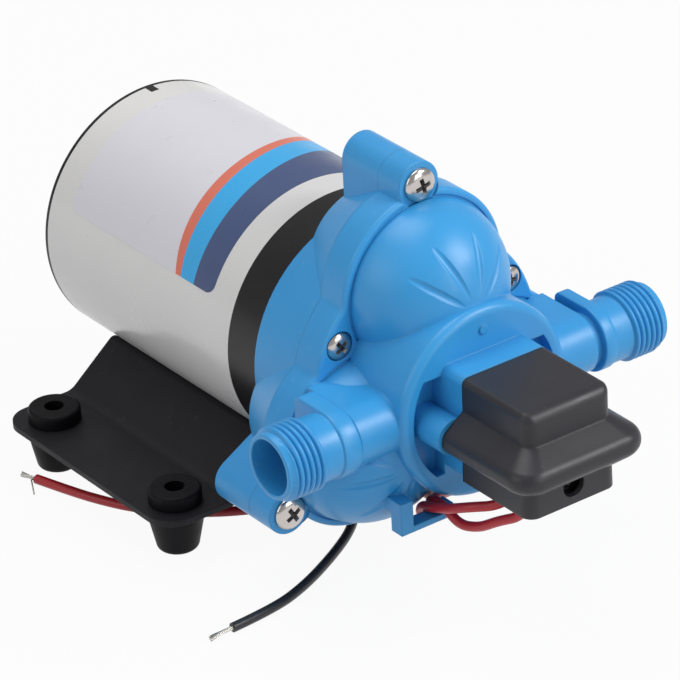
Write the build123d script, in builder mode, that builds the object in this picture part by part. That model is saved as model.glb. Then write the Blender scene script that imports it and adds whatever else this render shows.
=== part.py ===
# Diaphragm pump with pressure switch, millimetres.
# +Z up. The origin is on the floor, midway between the four feet.
# A station is a distance forward, towards -Y, from the joint between motor can and end bell.
import os
from math import asin, cos, degrees, pi, radians, sin, tan

from build123d import *

os.makedirs("parts", exist_ok=True)

# Clearances
running_gap = 0.05
slide_gap = 0.1
part_gap = 0.35

# Feet and base plate
foot_pitch_x = 112.0
foot_pitch_y = 60.0
plate_margin = 11.0
plate_thickness = 1.8
plate_underside = 13.2
plate_corner_r = 8.0
ridge_r = 2.0
wing_bend_r = 5.0
cradle_half_angle = 45.0
wing_start_x = 43.0
foot_disc_r = 7.6
foot_disc_height = 4.3
foot_neck_r = 5.8
foot_skirt_r = 8.1
foot_skirt_height = 2.2
foot_toe_r = 5.8
foot_toe_round = 1.8
foot_hole_r = 2.85
base_screw_r = 2.0
base_screw_head_r = 3.8
base_screw_head_height = 2.2
base_screw_reach = 2.5
base_screw_pitch = 44.0

# Motor
can_front_y = -34.2
axis_z = 55.0
can_r = 38.3
can_wall = 1.8
can_length = 89.0
notch_width = 2.7
notch_length = 3.3
rear_cap_rim = 1.2
rear_cap_spigot = 5.0
rear_cap_floor = 2.6
rear_boss_r = 11.0
rear_boss_height = 3.0
bell_length = 12.5
bell_wall = 3.0
bell_side = 3.8
bell_spigot = 4.0
bearing_boss_r = 14.0
shaft_r = 4.0
front_bearing_r = 11.0
front_bearing_width = 7.0
rear_bearing_r = 7.5
rear_bearing_width = 7.0
rear_boss_wall = 2.5
magnet_thickness = 4.2
magnet_length = 50.0
magnet_arc = 140.0
core_air_gap = 0.9
core_length = 40.0
core_front_station = -14.0
core_slots = 8
slot_width = 4.0
slot_depth = 12.0
slot_mouth = 2.0
winding_overhang = 8.0
winding_inset = 3.4
winding_inner_r = 12.0
commutator_r = 9.5
commutator_length = 10.0
brush_side = 6.0
brush_length = 10.0
brush_spring_r = 2.2
brush_holder_wall = 1.4
brush_holder_end = 28.0
brush_card_thickness = 3.0
brush_card_bore_r = 13.0
grommet_r = 5.0
grommet_lip = 1.2
grommet_station = 6.2

# Head outline: three lobes round the chambers, a round waist and three screw ears
chamber_offset = 26.0
lobe_r = 27.1
lobe_rear_r = 18.5
waist_r = 38.3
screw_ear_r = 6.6
long_screw_circle = 55.4
short_screw_circle = 33.4
ear_rear_station = 14.0

# Drive housing
seam_station = 30.0
drive_wall = 3.0
cam_window_r = 12.0
drive_chamber_r = 16.5
drive_centre_r = 26.0

# Drive: tilted cam, wobble plate, pistons
wobble_tilt = 3.0
wobble_station = 21.5
cam_r = 8.5
cam_length = 8.0
cam_hub_r = 8.0
cam_hub_length = 7.0
set_screw_r = 1.5
cam_bearing_r = 13.0
cam_bearing_width = 6.0
wobble_rim = 3.0
wobble_arm_width = 9.0
wobble_arm_thickness = 3.0
stud_r = 6.0
pad_rise = 6.0
pad_r = 10.0
diaphragm_skin = 1.2
neck_r = 3.0
piston_cap_r = 9.6
piston_cap_thickness = 2.2
piston_screw_r = 1.5
piston_screw_head_r = 2.8
piston_screw_head_height = 1.2
piston_screw_length = 9.0

# Diaphragm, valve plate and seal
diaphragm_thickness = 1.6
diaphragm_bowl_r = 15.2
valve_plate_thickness = 6.6
cup_r = 17.5
cup_depth = 4.2
seal_thickness = 1.4
seal_band = 2.2
inlet_valve_offset = 30.0
inlet_valve_r = 7.0
valve_rubber = 1.1
valve_stem_r = 1.5
valve_bulb_r = 2.3
valve_bulb_height = 1.6
inlet_hole_r = 1.3
inlet_hole_circle = 4.4
inlet_hole_count = 5
outlet_valve_r = 14.5
outlet_hole_offset = 11.6
outlet_hole_r = 1.4

# Pump head
flange_thickness = 10.0
flange_round = 1.2
outline_blend_r = 3.5
crease_angles = (-52.0, -20.0, 20.0, 52.0)
crease_r = 1.5
crease_depth = 0.6
crease_bow_r = 38.0
crease_polar = 31.0
dome_ring_width = 0.6
dome_ring_depth = 0.4
head_wall = 3.0
plate_clearance = 0.2
recess_waist_r = 27.5
dome_r = 24.6
dome_sink = 1.8
dome_wall = 2.5
dome_cavity_depth = 16.5
hub_r = 28.3
hub_length = 25.5
hub_round = 2.4
hub_cavity_r = 17.0
hub_cavity_wall = 3.0
hub_cavity_depth = 17.0
ring_channel = 4.0
plinth_half_width = 14.4
plinth_top = 15.9
plinth_bottom = 15.5
plinth_length = 8.7
plinth_corner_r = 2.5
moat_depth = 4.5
moat_outer_r = 24.2
moat_top = 13.0
moat_bottom = 17.0
pillar_x = 17.6
pillar_drop = 0.8
pillar_r = 5.2
pip_r = 1.4
pip_height = 0.5
pip_rise = 22.1

# Ports: 1/2 inch parallel pipe thread, 20.9 mm over the crests
port_station = 55.4
port_drop = 0.4
port_reach = 64.7
thread_r = 10.45
thread_length = 12.9
thread_lead_in = 1.2
collar_r = 9.3
collar_length = 5.2
port_bore_r = 7.9
port_bore_depth = 16.0
spigot_r = 6.6
spigot_bore_r = 4.6
spigot_length = 6.4
fitting_flange_r = 9.8
fitting_flange_thickness = 4.0
fitting_flange_rear = 13.1
fitting_neck_r = 7.6
fitting_neck_length = 2.2
barrel_r = 8.8
o_ring_section_r = 0.65
o_ring_setback = 3.4
o_ring_groove_width = 1.6
check_chamber_length = 8.5
valve_seat_r = 3.6
inlet_bore_r = 5.0
poppet_r = 5.5
poppet_thickness = 2.0
poppet_stem_r = 1.2
poppet_stem_length = 9.0
check_spring_wall = 0.8
screen_thickness = 0.8
screen_seat_ledge = 0.5
screen_seat_depth = 1.0
screen_hole_count = 12
screen_hole_r = 0.8
screen_hole_circle = 4.6

# Wire clip under the head
clip_left_x = -30.0
clip_right_x = -12.5
clip_rear_station = 61.4
clip_width = 4.6
clip_thickness = 1.8
clip_drop = 28.7
clip_post_width = 4.0
clip_post_height = 8.0
clip_nub_width = 1.6
clip_nub_height = 2.2

# Head screws
screw_gap = 0.3
long_screw_seat_station = 39.3
long_screw_head_r = 4.85
long_screw_head_height = 2.3
long_screw_r = 2.5
long_screw_length = 24.0
short_screw_seat_station = 38.8
short_screw_head_r = 4.0
short_screw_head_height = 2.2
short_screw_r = 2.0
short_screw_length = 18.0

# Pressure switch
boot_length = 28.0
boot_half_width = 14.4
boot_lower_half_width = 15.1
boot_top = 15.5
boot_bottom = 15.3
boot_corner_r = 3.6
boot_edge_r = 2.0
boot_wall = 1.5
belt_reach = 7.2
belt_top = 6.0
belt_bottom = 9.0
belt_flat_top = 1.0
belt_flat_bottom = 3.2
belt_nose_r = 3.6
sense_drop = 9.6
adjuster_window_r = 3.5
sense_port_r = 1.5
sense_chamber_r = 5.2
sense_chamber_depth = 2.0
switch_diaphragm_r = 6.2
switch_diaphragm_thickness = 1.0
body_half_width = 11.8
body_bottom = 13.6
body_top = 12.8
body_length = 24.0
body_ear_r = 2.7
body_ear_thickness = 2.6
nut_bore_start = 11.0
adjuster_wall = 2.0
spring_bore_r = 3.1
plunger_thickness = 2.0
plunger_arm_width = 3.0
plunger_arm_top = 8.0
switch_spring_r = 2.2
switch_spring_wall = 0.5
nut_side = 4.4
nut_thickness = 2.6
nut_setback = 9.6
adjuster_r = 1.5
adjuster_head_r = 2.2
adjuster_head_thickness = 1.6
adjuster_length = 10.0
adjuster_slot = 0.6
micro_half_width = 3.2
micro_bottom = 1.5
micro_height = 10.2
micro_length = 17.0
micro_station = 79.2
button_r = 0.9
button_height = 1.0
terminal_pocket_x = -11.3
terminal_pocket_wall = -6.0
terminal_x = -8.6
terminal_width = 4.0
terminal_thickness = 0.8
terminal_rise = 3.0
lead_window_r = 2.6
terminal_end_drop = 9.0
link_terminal_station = 86.0
supply_terminal_station = 93.0
switch_screw_r = 1.3
switch_screw_head_r = 2.3
switch_screw_head_height = 1.5
switch_screw_length = 10.0

# Leads: 1 mm2 wire over its insulation
lead_r = 1.4
bare_r = 0.7
lead_floor = 1.45

# Stations and sizes worked out from the values above
can_inner_r = can_r - can_wall
core_r = can_inner_r - magnet_thickness - core_air_gap
winding_outer_r = core_r - winding_inset
grommet_y = can_front_y - grommet_station
plate_length = foot_pitch_y + 2 * plate_margin
plate_width = foot_pitch_x + 2 * plate_margin
plate_top = plate_underside + plate_thickness
drive_floor_station = bell_length + drive_wall
plate_rear_station = seam_station + diaphragm_thickness
plate_front_station = plate_rear_station + valve_plate_thickness
cup_ceiling_station = plate_rear_station + cup_depth
seal_front_station = plate_front_station + seal_thickness
flange_front_station = seam_station + flange_thickness
hub_front_station = flange_front_station + hub_length
plinth_front_station = hub_front_station + plinth_length
moat_floor_station = hub_front_station - moat_depth
recess_r = lobe_r - head_wall
inner_plate_r = recess_r - plate_clearance
inner_plate_waist_r = recess_waist_r - plate_clearance
spigot_socket_r = spigot_r + slide_gap
core_rear_station = core_front_station - core_length
commutator_front_station = core_rear_station - winding_overhang - 1.0
commutator_rear_station = commutator_front_station - commutator_length
brush_station = (commutator_front_station + commutator_rear_station) / 2
brush_card_station = commutator_rear_station - brush_card_thickness
can_rear_station = -can_length
rear_bearing_station = can_rear_station + rear_cap_floor - rear_cap_rim
magnet_centre_station = core_front_station - core_length / 2
plunger_station = plinth_front_station + part_gap
cap_rise = pad_rise + diaphragm_skin + part_gap
cap_top = cap_rise + piston_cap_thickness
body_front_station = plinth_front_station + body_length
nut_station = body_front_station - nut_setback
thread_start = port_reach - thread_length
screen_seat = port_reach - port_bore_depth - screen_seat_depth
fitting_flange_outer = thread_start - collar_length
fitting_flange_inner = fitting_flange_outer - fitting_flange_thickness
barrel_end = fitting_flange_inner - fitting_neck_length
spigot_end = barrel_end - spigot_length
o_ring_position = barrel_end - o_ring_setback
valve_seat_x = spigot_end - check_chamber_length
dome_align = (Align.CENTER, Align.CENTER, Align.MIN)


def front_plane(station, x=0.0, rise=0.0):
    return Plane(
        origin=(x, can_front_y - station, axis_z + rise),
        x_dir=(1, 0, 0),
        z_dir=(0, -1, 0),
    )


def port_plane(side, distance):
    return Plane(
        origin=(side * distance, can_front_y - port_station, axis_z - port_drop),
        x_dir=(0, 1, 0),
        z_dir=(side, 0, 0),
    )


def wobble_plane(height):
    tilt = radians(wobble_tilt)
    across = Plane(
        origin=(0, can_front_y - wobble_station, axis_z),
        x_dir=(1, 0, 0),
        z_dir=(0, -cos(tilt), -sin(tilt)),
    )
    return across.offset(height)


def level_plane(rise):
    return Plane((0, can_front_y, axis_z + rise), x_dir=(1, 0, 0), z_dir=(0, 0, 1))


def write(part, label):
    part.label = label
    export_step(part, "parts/" + label + ".step")


def head_outline(lobe):
    Circle(waist_r)
    with PolarLocations(chamber_offset, 3, start_angle=90):
        Circle(lobe)


def ear_outline():
    web_length = long_screw_circle - waist_r + screw_ear_r
    with PolarLocations(long_screw_circle - web_length / 2, 3, start_angle=90):
        Rectangle(web_length, 2 * screw_ear_r)
    with PolarLocations(long_screw_circle, 3, start_angle=90):
        Circle(screw_ear_r)


def inner_outline(lobe, waist):
    Circle(waist)
    with PolarLocations(chamber_offset, 3, start_angle=90):
        Circle(lobe)


def barrel_outline(radius, rear):
    Circle(radius)
    with Locations((rear / 2, 0)):
        Rectangle(rear, 2 * radius)


def corner_radii(route):
    corners = [Vector(*point) for point in route]
    radii = []
    for before, corner, after in zip(corners, corners[1:], corners[2:]):
        run = min((corner - before).length, (after - corner).length)
        turn = radians((corner - before).get_angle(after - corner))
        radii.append(0.45 * run / tan(turn / 2))
    return radii


# Base plate: a pressed saddle with a cradle for the can and a flat wing on each side
cradle_r = can_r + running_gap
ridge_x = cradle_r * sin(radians(cradle_half_angle))
ridge_z = axis_z - cradle_r * cos(radians(cradle_half_angle))
with BuildPart() as base_plate:
    with BuildSketch(Plane.XZ.offset(-plate_length / 2)) as saddle:
        with BuildLine() as saddle_line:
            for side in (-1, 1):
                FilletPolyline(
                    (side * plate_width / 2, plate_top),
                    (side * wing_start_x, plate_top),
                    (side * ridge_x, ridge_z),
                    radius=wing_bend_r,
                )
            ThreePointArc((-ridge_x, ridge_z), (0, axis_z - cradle_r), (ridge_x, ridge_z))
            offset(amount=plate_thickness, side=Side.RIGHT)
        make_face()
        ridge_low = ridge_z - 2 * plate_thickness
        fillet(saddle.vertices().filter_by_position(Axis.Y, ridge_low, axis_z), radius=ridge_r)
    extrude(amount=plate_length)
    fillet(edges().filter_by(Axis.Z), radius=plate_corner_r)
    with BuildSketch(Plane.XY.offset(plate_underside)):
        with GridLocations(foot_pitch_x, foot_pitch_y, 2, 2):
            Circle(foot_neck_r)
    extrude(amount=plate_thickness, mode=Mode.SUBTRACT)
    with BuildSketch(Plane.XY):
        with GridLocations(0, base_screw_pitch, 1, 2):
            Circle(base_screw_r + screw_gap)
    extrude(amount=axis_z, mode=Mode.SUBTRACT)
    # Notch in the front edge, round the grommet of the leads
    with BuildSketch(Plane((0, grommet_y, 0))):
        notch_r = grommet_r + grommet_lip + part_gap
        Circle(notch_r)
        Rectangle(2 * notch_r, plate_length, align=(Align.CENTER, Align.MAX))
    extrude(amount=axis_z, mode=Mode.SUBTRACT)
write(base_plate.part, "base_plate")

# Rubber feet: a disc above the plate, a neck in its hole and a cone down to the floor
for end, foot_y in (("front", -foot_pitch_y / 2), ("rear", foot_pitch_y / 2)):
    for side, foot_x in (("left", -foot_pitch_x / 2), ("right", foot_pitch_x / 2)):
        with BuildPart() as foot:
            with BuildSketch(Plane((foot_x, foot_y, 0), x_dir=(1, 0, 0), z_dir=(0, -1, 0))):
                with BuildLine():
                    Polyline(
                        (foot_hole_r, 0),
                        (foot_toe_r, 0),
                        (foot_skirt_r, plate_underside - foot_skirt_height),
                        (foot_skirt_r, plate_underside),
                        (foot_neck_r, plate_underside),
                        (foot_neck_r, plate_top),
                        (foot_disc_r, plate_top),
                        (foot_disc_r, plate_top + foot_disc_height),
                        (foot_hole_r, plate_top + foot_disc_height),
                        (foot_hole_r, 0),
                    )
                make_face()
            revolve(axis=Axis((foot_x, foot_y, 0), (0, 0, 1)))
            rings = foot.edges().filter_by(GeomType.CIRCLE).group_by(Axis.Z)
            fillet(rings[0].sort_by(SortBy.RADIUS)[-1], radius=foot_toe_round)
            rings = foot.edges().filter_by(GeomType.CIRCLE).group_by(Axis.Z)
            fillet(rings[-1].sort_by(SortBy.RADIUS)[-1], radius=1.0)
        write(foot.part, "foot_" + end + "_" + side)

# Screws from under the cradle into the can, between the magnets
screw_seat_z = axis_z - cradle_r - plate_thickness
screw_top_z = axis_z - can_inner_r + base_screw_reach
with BuildPart() as base_screws:
    with BuildSketch(Plane.XY.offset(screw_seat_z - base_screw_head_height)):
        with GridLocations(0, base_screw_pitch, 1, 2):
            Circle(base_screw_head_r)
    extrude(amount=base_screw_head_height)
    with BuildSketch(Plane.XY.offset(screw_seat_z)):
        with GridLocations(0, base_screw_pitch, 1, 2):
            Circle(base_screw_r)
    extrude(amount=screw_top_z - screw_seat_z)
write(base_screws.part, "base_screws")

# Motor can, a drawn steel tube with a crimp notch at the top of its rear rim
with BuildPart() as motor_can:
    with BuildSketch(front_plane(can_rear_station)):
        Circle(can_r)
        Circle(can_inner_r, mode=Mode.SUBTRACT)
    extrude(amount=can_length)
    with BuildSketch(front_plane(can_rear_station)):
        with Locations((0, can_r)):
            Rectangle(notch_width, 4 * can_wall)
    extrude(amount=notch_length, mode=Mode.SUBTRACT)
    with BuildSketch(Plane.XY):
        with GridLocations(0, base_screw_pitch, 1, 2):
            Circle(base_screw_r)
    extrude(amount=axis_z, mode=Mode.SUBTRACT)
write(motor_can.part, "motor_can")

# Rear end cap with its bearing pocket and the tongue that fills the notch
with BuildPart() as rear_end_cap:
    with BuildSketch(front_plane(can_rear_station - rear_cap_rim)):
        Circle(can_r)
    extrude(amount=rear_cap_rim)
    with BuildSketch(front_plane(can_rear_station)):
        Circle(can_inner_r - running_gap)
    extrude(amount=rear_cap_spigot)
    with BuildSketch(front_plane(rear_bearing_station)):
        Circle(can_inner_r - running_gap - can_wall)
    extrude(amount=rear_cap_spigot, mode=Mode.SUBTRACT)
    with BuildSketch(front_plane(can_rear_station - rear_cap_rim - rear_boss_height)):
        Circle(rear_boss_r)
    extrude(amount=rear_boss_height + rear_cap_rim)
    fillet(faces().filter_by(Axis.Y).group_by(Axis.Y)[-1].edges(), radius=0.6 * rear_boss_height)
    with BuildSketch(front_plane(rear_bearing_station)):
        Circle(rear_bearing_r + rear_boss_wall)
        Circle(rear_bearing_r, mode=Mode.SUBTRACT)
    extrude(amount=rear_bearing_width)
    with BuildSketch(front_plane(rear_bearing_station - 2.0)):
        Circle(shaft_r + 1.0)
    extrude(amount=2.0, mode=Mode.SUBTRACT)
    with BuildSketch(front_plane(can_rear_station)):
        with Locations((0, can_r - can_wall / 2)):
            Rectangle(notch_width - 2 * slide_gap, can_wall)
    extrude(amount=notch_length - slide_gap)
write(rear_end_cap.part, "rear_end_cap")

# Front end bell with the front bearing boss and the lead hole at the bottom
with BuildPart() as front_end_bell:
    with BuildSketch(front_plane(0)):
        Circle(can_r)
        Circle(can_r - bell_side, mode=Mode.SUBTRACT)
    extrude(amount=bell_length)
    with BuildSketch(front_plane(bell_length - bell_wall)):
        Circle(can_r)
    extrude(amount=bell_wall)
    with BuildSketch(front_plane(-bell_spigot)):
        Circle(can_inner_r - running_gap)
        Circle(can_r - bell_side, mode=Mode.SUBTRACT)
    extrude(amount=bell_spigot)
    bearing_station = bell_length - bell_wall / 2 - front_bearing_width
    with BuildSketch(front_plane(bearing_station)):
        Circle(bearing_boss_r)
    extrude(amount=front_bearing_width)
    with BuildSketch(front_plane(bearing_station)):
        Circle(front_bearing_r)
    extrude(amount=front_bearing_width, mode=Mode.SUBTRACT)
    with BuildSketch(front_plane(0)):
        Circle(shaft_r + 2.0)
    extrude(amount=bell_length, mode=Mode.SUBTRACT)
    with BuildSketch(Plane((0, can_front_y - grommet_station, 0))):
        Circle(grommet_r)
    extrude(amount=axis_z - bearing_boss_r - 5.0, mode=Mode.SUBTRACT)
write(front_end_bell.part, "front_end_bell")

# Permanent magnets, one each side
with BuildPart() as motor_magnets:
    with BuildSketch(front_plane(magnet_centre_station - magnet_length / 2)):
        Circle(can_inner_r - running_gap)
        Circle(can_inner_r - magnet_thickness, mode=Mode.SUBTRACT)
        gap_height = 2 * can_inner_r * sin(radians(90 - magnet_arc / 2))
        Rectangle(gap_height, 3 * can_inner_r, mode=Mode.SUBTRACT)
    extrude(amount=magnet_length)
write(motor_magnets.part, "motor_magnets")

# Shaft from the rear bearing to the cam
shaft_rear_station = rear_bearing_station + part_gap
shaft_front_station = wobble_station + cam_length / 2 - part_gap
with BuildPart() as motor_shaft:
    with BuildSketch(front_plane(shaft_rear_station)):
        Circle(shaft_r)
    extrude(amount=shaft_front_station - shaft_rear_station)
    chamfer(motor_shaft.edges().filter_by(GeomType.CIRCLE), length=0.4)
write(motor_shaft.part, "motor_shaft")

# Slotted armature core
with BuildPart() as armature_core:
    with BuildSketch(front_plane(core_rear_station)):
        Circle(core_r)
        with PolarLocations(core_r - slot_mouth - slot_depth / 2, core_slots):
            Rectangle(slot_depth, slot_width, mode=Mode.SUBTRACT)
        with PolarLocations(core_r - slot_mouth / 2, core_slots):
            Rectangle(2 * slot_mouth, slot_width / 2, mode=Mode.SUBTRACT)
        Circle(shaft_r, mode=Mode.SUBTRACT)
    extrude(amount=core_length)
write(armature_core.part, "armature_core")

# Windings: bars through the slots and an end turn at each face of the core
with BuildPart() as armature_windings:
    with BuildSketch(front_plane(core_rear_station - winding_overhang)):
        Circle(winding_outer_r)
        Circle(winding_inner_r, mode=Mode.SUBTRACT)
    extrude(amount=winding_overhang)
    fillet(faces().filter_by(Axis.Y).group_by(Axis.Y)[-1].edges(), radius=2.0)
    with BuildSketch(front_plane(core_front_station)):
        Circle(winding_outer_r)
        Circle(winding_inner_r, mode=Mode.SUBTRACT)
    extrude(amount=winding_overhang)
    fillet(faces().filter_by(Axis.Y).group_by(Axis.Y)[0].edges(), radius=2.0)
    with BuildSketch(front_plane(core_rear_station)):
        with PolarLocations(core_r - slot_mouth - slot_depth / 2, core_slots):
            Rectangle(slot_depth - 2 * slide_gap, slot_width - 2 * slide_gap)
    extrude(amount=core_length)
write(armature_windings.part, "armature_windings")

with BuildPart() as commutator:
    with BuildSketch(front_plane(commutator_rear_station)):
        Circle(commutator_r)
        Circle(shaft_r, mode=Mode.SUBTRACT)
    extrude(amount=commutator_length)
write(commutator.part, "commutator")

# Brush plate with two box holders, open towards the commutator
holder_side = brush_side + 2 * slide_gap + 2 * brush_holder_wall
holder_start = commutator_r + 3.0
with BuildPart() as brush_plate:
    with BuildSketch(front_plane(brush_card_station)):
        Circle(can_inner_r - running_gap)
        Circle(brush_card_bore_r, mode=Mode.SUBTRACT)
    extrude(amount=brush_card_thickness)
    holder_length = brush_holder_end - holder_start
    with BuildSketch(front_plane(brush_card_station)):
        with PolarLocations(holder_start + holder_length / 2, 2):
            Rectangle(holder_length, holder_side)
    extrude(amount=brush_station + holder_side / 2 - brush_card_station)
    with BuildSketch(front_plane(brush_station - brush_side / 2 - slide_gap)):
        with PolarLocations(holder_start + holder_length / 2 - brush_holder_wall, 2):
            Rectangle(holder_length, brush_side + 2 * slide_gap)
    extrude(amount=brush_side + 2 * slide_gap, mode=Mode.SUBTRACT)
write(brush_plate.part, "brush_plate")

brush_start = commutator_r + part_gap
with BuildPart() as carbon_brushes:
    with BuildSketch(front_plane(brush_station - brush_side / 2)):
        with PolarLocations(brush_start + brush_length / 2, 2):
            Rectangle(brush_length, brush_side)
    extrude(amount=brush_side)
write(carbon_brushes.part, "carbon_brushes")

spring_start = brush_start + brush_length
spring_stop = brush_holder_end - brush_holder_wall
with BuildPart() as brush_springs:
    for side in (-1, 1):
        with BuildSketch(
            Plane(
                (side * spring_start, can_front_y - brush_station, axis_z),
                x_dir=(0, 1, 0),
                z_dir=(side, 0, 0),
            )
        ):
            Circle(brush_spring_r)
        extrude(amount=spring_stop - spring_start)
write(brush_springs.part, "brush_springs")

with BuildPart() as rear_bearing:
    with BuildSketch(front_plane(rear_bearing_station)):
        Circle(rear_bearing_r)
        Circle(shaft_r + running_gap, mode=Mode.SUBTRACT)
    extrude(amount=rear_bearing_width)
write(rear_bearing.part, "rear_bearing")

with BuildPart() as front_bearing:
    with BuildSketch(front_plane(bearing_station)):
        Circle(front_bearing_r)
        Circle(shaft_r + running_gap, mode=Mode.SUBTRACT)
    extrude(amount=front_bearing_width)
write(front_bearing.part, "front_bearing")

# Rubber grommet at the bottom of the bell, with the two leads side by side
grommet_foot_z = axis_z - can_r - grommet_lip
grommet_top_z = axis_z - can_r + bell_side + grommet_lip
lead_pitch = 1.9
with BuildPart() as lead_grommet:
    with BuildSketch(Plane((0, grommet_y, grommet_foot_z))):
        Circle(grommet_r + grommet_lip)
    extrude(amount=grommet_lip)
    with BuildSketch(Plane((0, grommet_y, grommet_foot_z + grommet_lip))):
        Circle(grommet_r)
    extrude(amount=grommet_top_z - grommet_foot_z - grommet_lip)
    with BuildSketch(Plane((0, grommet_y, grommet_foot_z))):
        with GridLocations(2 * lead_pitch, 0, 2, 1):
            Circle(lead_r)
    extrude(amount=grommet_top_z - grommet_foot_z, mode=Mode.SUBTRACT)
write(lead_grommet.part, "lead_grommet")

# Drive housing: lobes that flare from the bell to the seam, screw ears and a hollow
with BuildPart() as drive_housing:
    with BuildSketch(front_plane(bell_length)):
        Circle(waist_r)
    extrude(amount=seam_station - bell_length)
    for turn in (90, 210, 330):
        lobe_x = chamber_offset * cos(radians(turn))
        lobe_rise = chamber_offset * sin(radians(turn))
        with BuildSketch(front_plane(bell_length, lobe_x, lobe_rise)):
            Circle(lobe_rear_r)
        with BuildSketch(front_plane(seam_station, lobe_x, lobe_rise)):
            Circle(lobe_r)
        loft()
    with BuildSketch(front_plane(ear_rear_station)):
        ear_outline()
    extrude(amount=seam_station - ear_rear_station)
    with BuildSketch(front_plane(drive_floor_station)):
        inner_outline(drive_chamber_r, drive_centre_r)
    extrude(amount=seam_station - drive_floor_station, mode=Mode.SUBTRACT)
    with BuildSketch(front_plane(bell_length)):
        Circle(cam_window_r)
    extrude(amount=drive_wall, mode=Mode.SUBTRACT)
    with BuildSketch(front_plane(long_screw_seat_station - long_screw_length)):
        with PolarLocations(long_screw_circle, 3, start_angle=90):
            Circle(long_screw_r)
    extrude(amount=seam_station, mode=Mode.SUBTRACT)
    with BuildSketch(front_plane(short_screw_seat_station - short_screw_length)):
        with PolarLocations(short_screw_circle, 3, start_angle=30):
            Circle(short_screw_r)
    extrude(amount=seam_station, mode=Mode.SUBTRACT)
write(drive_housing.part, "drive_housing")

# Tilted cam on the shaft, with a hub for its set screw
cam_hub_station = wobble_station - cam_hub_length
with BuildPart() as cam:
    with BuildSketch(wobble_plane(-cam_length / 2)):
        Circle(cam_r)
    extrude(amount=cam_length)
    with BuildSketch(front_plane(cam_hub_station)):
        Circle(cam_hub_r)
    extrude(amount=cam_hub_length)
    with BuildSketch(front_plane(cam_hub_station - cam_length)):
        Circle(shaft_r)
    extrude(amount=3 * cam_length, mode=Mode.SUBTRACT)
    set_screw_station = cam_hub_station + set_screw_r + 0.6
    with BuildSketch(Plane((0, can_front_y - set_screw_station, axis_z), z_dir=(1, 0, 0))):
        Circle(set_screw_r)
    extrude(amount=cam_r, mode=Mode.SUBTRACT)
write(cam.part, "cam")

with BuildPart() as cam_set_screw:
    with BuildSketch(
        Plane((shaft_r, can_front_y - set_screw_station, axis_z), z_dir=(1, 0, 0))
    ):
        Circle(set_screw_r)
    extrude(amount=cam_hub_r - shaft_r - 0.5)
write(cam_set_screw.part, "cam_set_screw")

with BuildPart() as cam_bearing:
    with BuildSketch(wobble_plane(-cam_bearing_width / 2)):
        Circle(cam_bearing_r)
        Circle(cam_r + running_gap, mode=Mode.SUBTRACT)
    extrude(amount=cam_bearing_width)
write(cam_bearing.part, "cam_bearing")

# Wobble plate: a ring on the bearing, three arms and a stud under each diaphragm pad
stud_top = pad_rise - part_gap
with BuildPart() as wobble_plate:
    with BuildSketch(wobble_plane(-cam_bearing_width / 2)):
        Circle(cam_bearing_r + wobble_rim)
        Circle(cam_bearing_r, mode=Mode.SUBTRACT)
    extrude(amount=cam_bearing_width)
    with BuildSketch(wobble_plane(0)):
        arm_length = chamber_offset - cam_bearing_r - 1.0
        with PolarLocations(chamber_offset - arm_length / 2, 3, start_angle=90):
            Rectangle(arm_length, wobble_arm_width)
    extrude(amount=wobble_arm_thickness)
    with BuildSketch(wobble_plane(0)):
        with PolarLocations(chamber_offset, 3, start_angle=90):
            Circle(stud_r)
    extrude(amount=stud_top)
    with BuildSketch(wobble_plane(cap_top - piston_screw_length)):
        with PolarLocations(chamber_offset, 3, start_angle=90):
            Circle(piston_screw_r)
    extrude(amount=piston_screw_length, mode=Mode.SUBTRACT)
write(wobble_plate.part, "wobble_plate")

# Piston caps: a neck through the diaphragm and a disc that clamps it
with BuildPart() as piston_caps:
    with BuildSketch(wobble_plane(stud_top)):
        with PolarLocations(chamber_offset, 3, start_angle=90):
            Circle(neck_r)
    extrude(amount=cap_rise - stud_top)
    with BuildSketch(wobble_plane(cap_rise)):
        with PolarLocations(chamber_offset, 3, start_angle=90):
            Circle(piston_cap_r)
    extrude(amount=piston_cap_thickness)
    with BuildSketch(wobble_plane(cap_top - piston_screw_head_height)):
        with PolarLocations(chamber_offset, 3, start_angle=90):
            Circle(piston_screw_head_r + slide_gap)
    extrude(amount=piston_screw_head_height, mode=Mode.SUBTRACT)
    with BuildSketch(wobble_plane(stud_top)):
        with PolarLocations(chamber_offset, 3, start_angle=90):
            Circle(piston_screw_r)
    extrude(amount=cap_top - stud_top, mode=Mode.SUBTRACT)
write(piston_caps.part, "piston_caps")

with BuildPart() as piston_screws:
    with BuildSketch(wobble_plane(cap_top - piston_screw_head_height)):
        with PolarLocations(chamber_offset, 3, start_angle=90):
            Circle(piston_screw_head_r)
    extrude(amount=piston_screw_head_height)
    with BuildSketch(wobble_plane(cap_top - piston_screw_length)):
        with PolarLocations(chamber_offset, 3, start_angle=90):
            Circle(piston_screw_r)
    extrude(amount=piston_screw_length - piston_screw_head_height)
write(piston_screws.part, "piston_screws")

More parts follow.
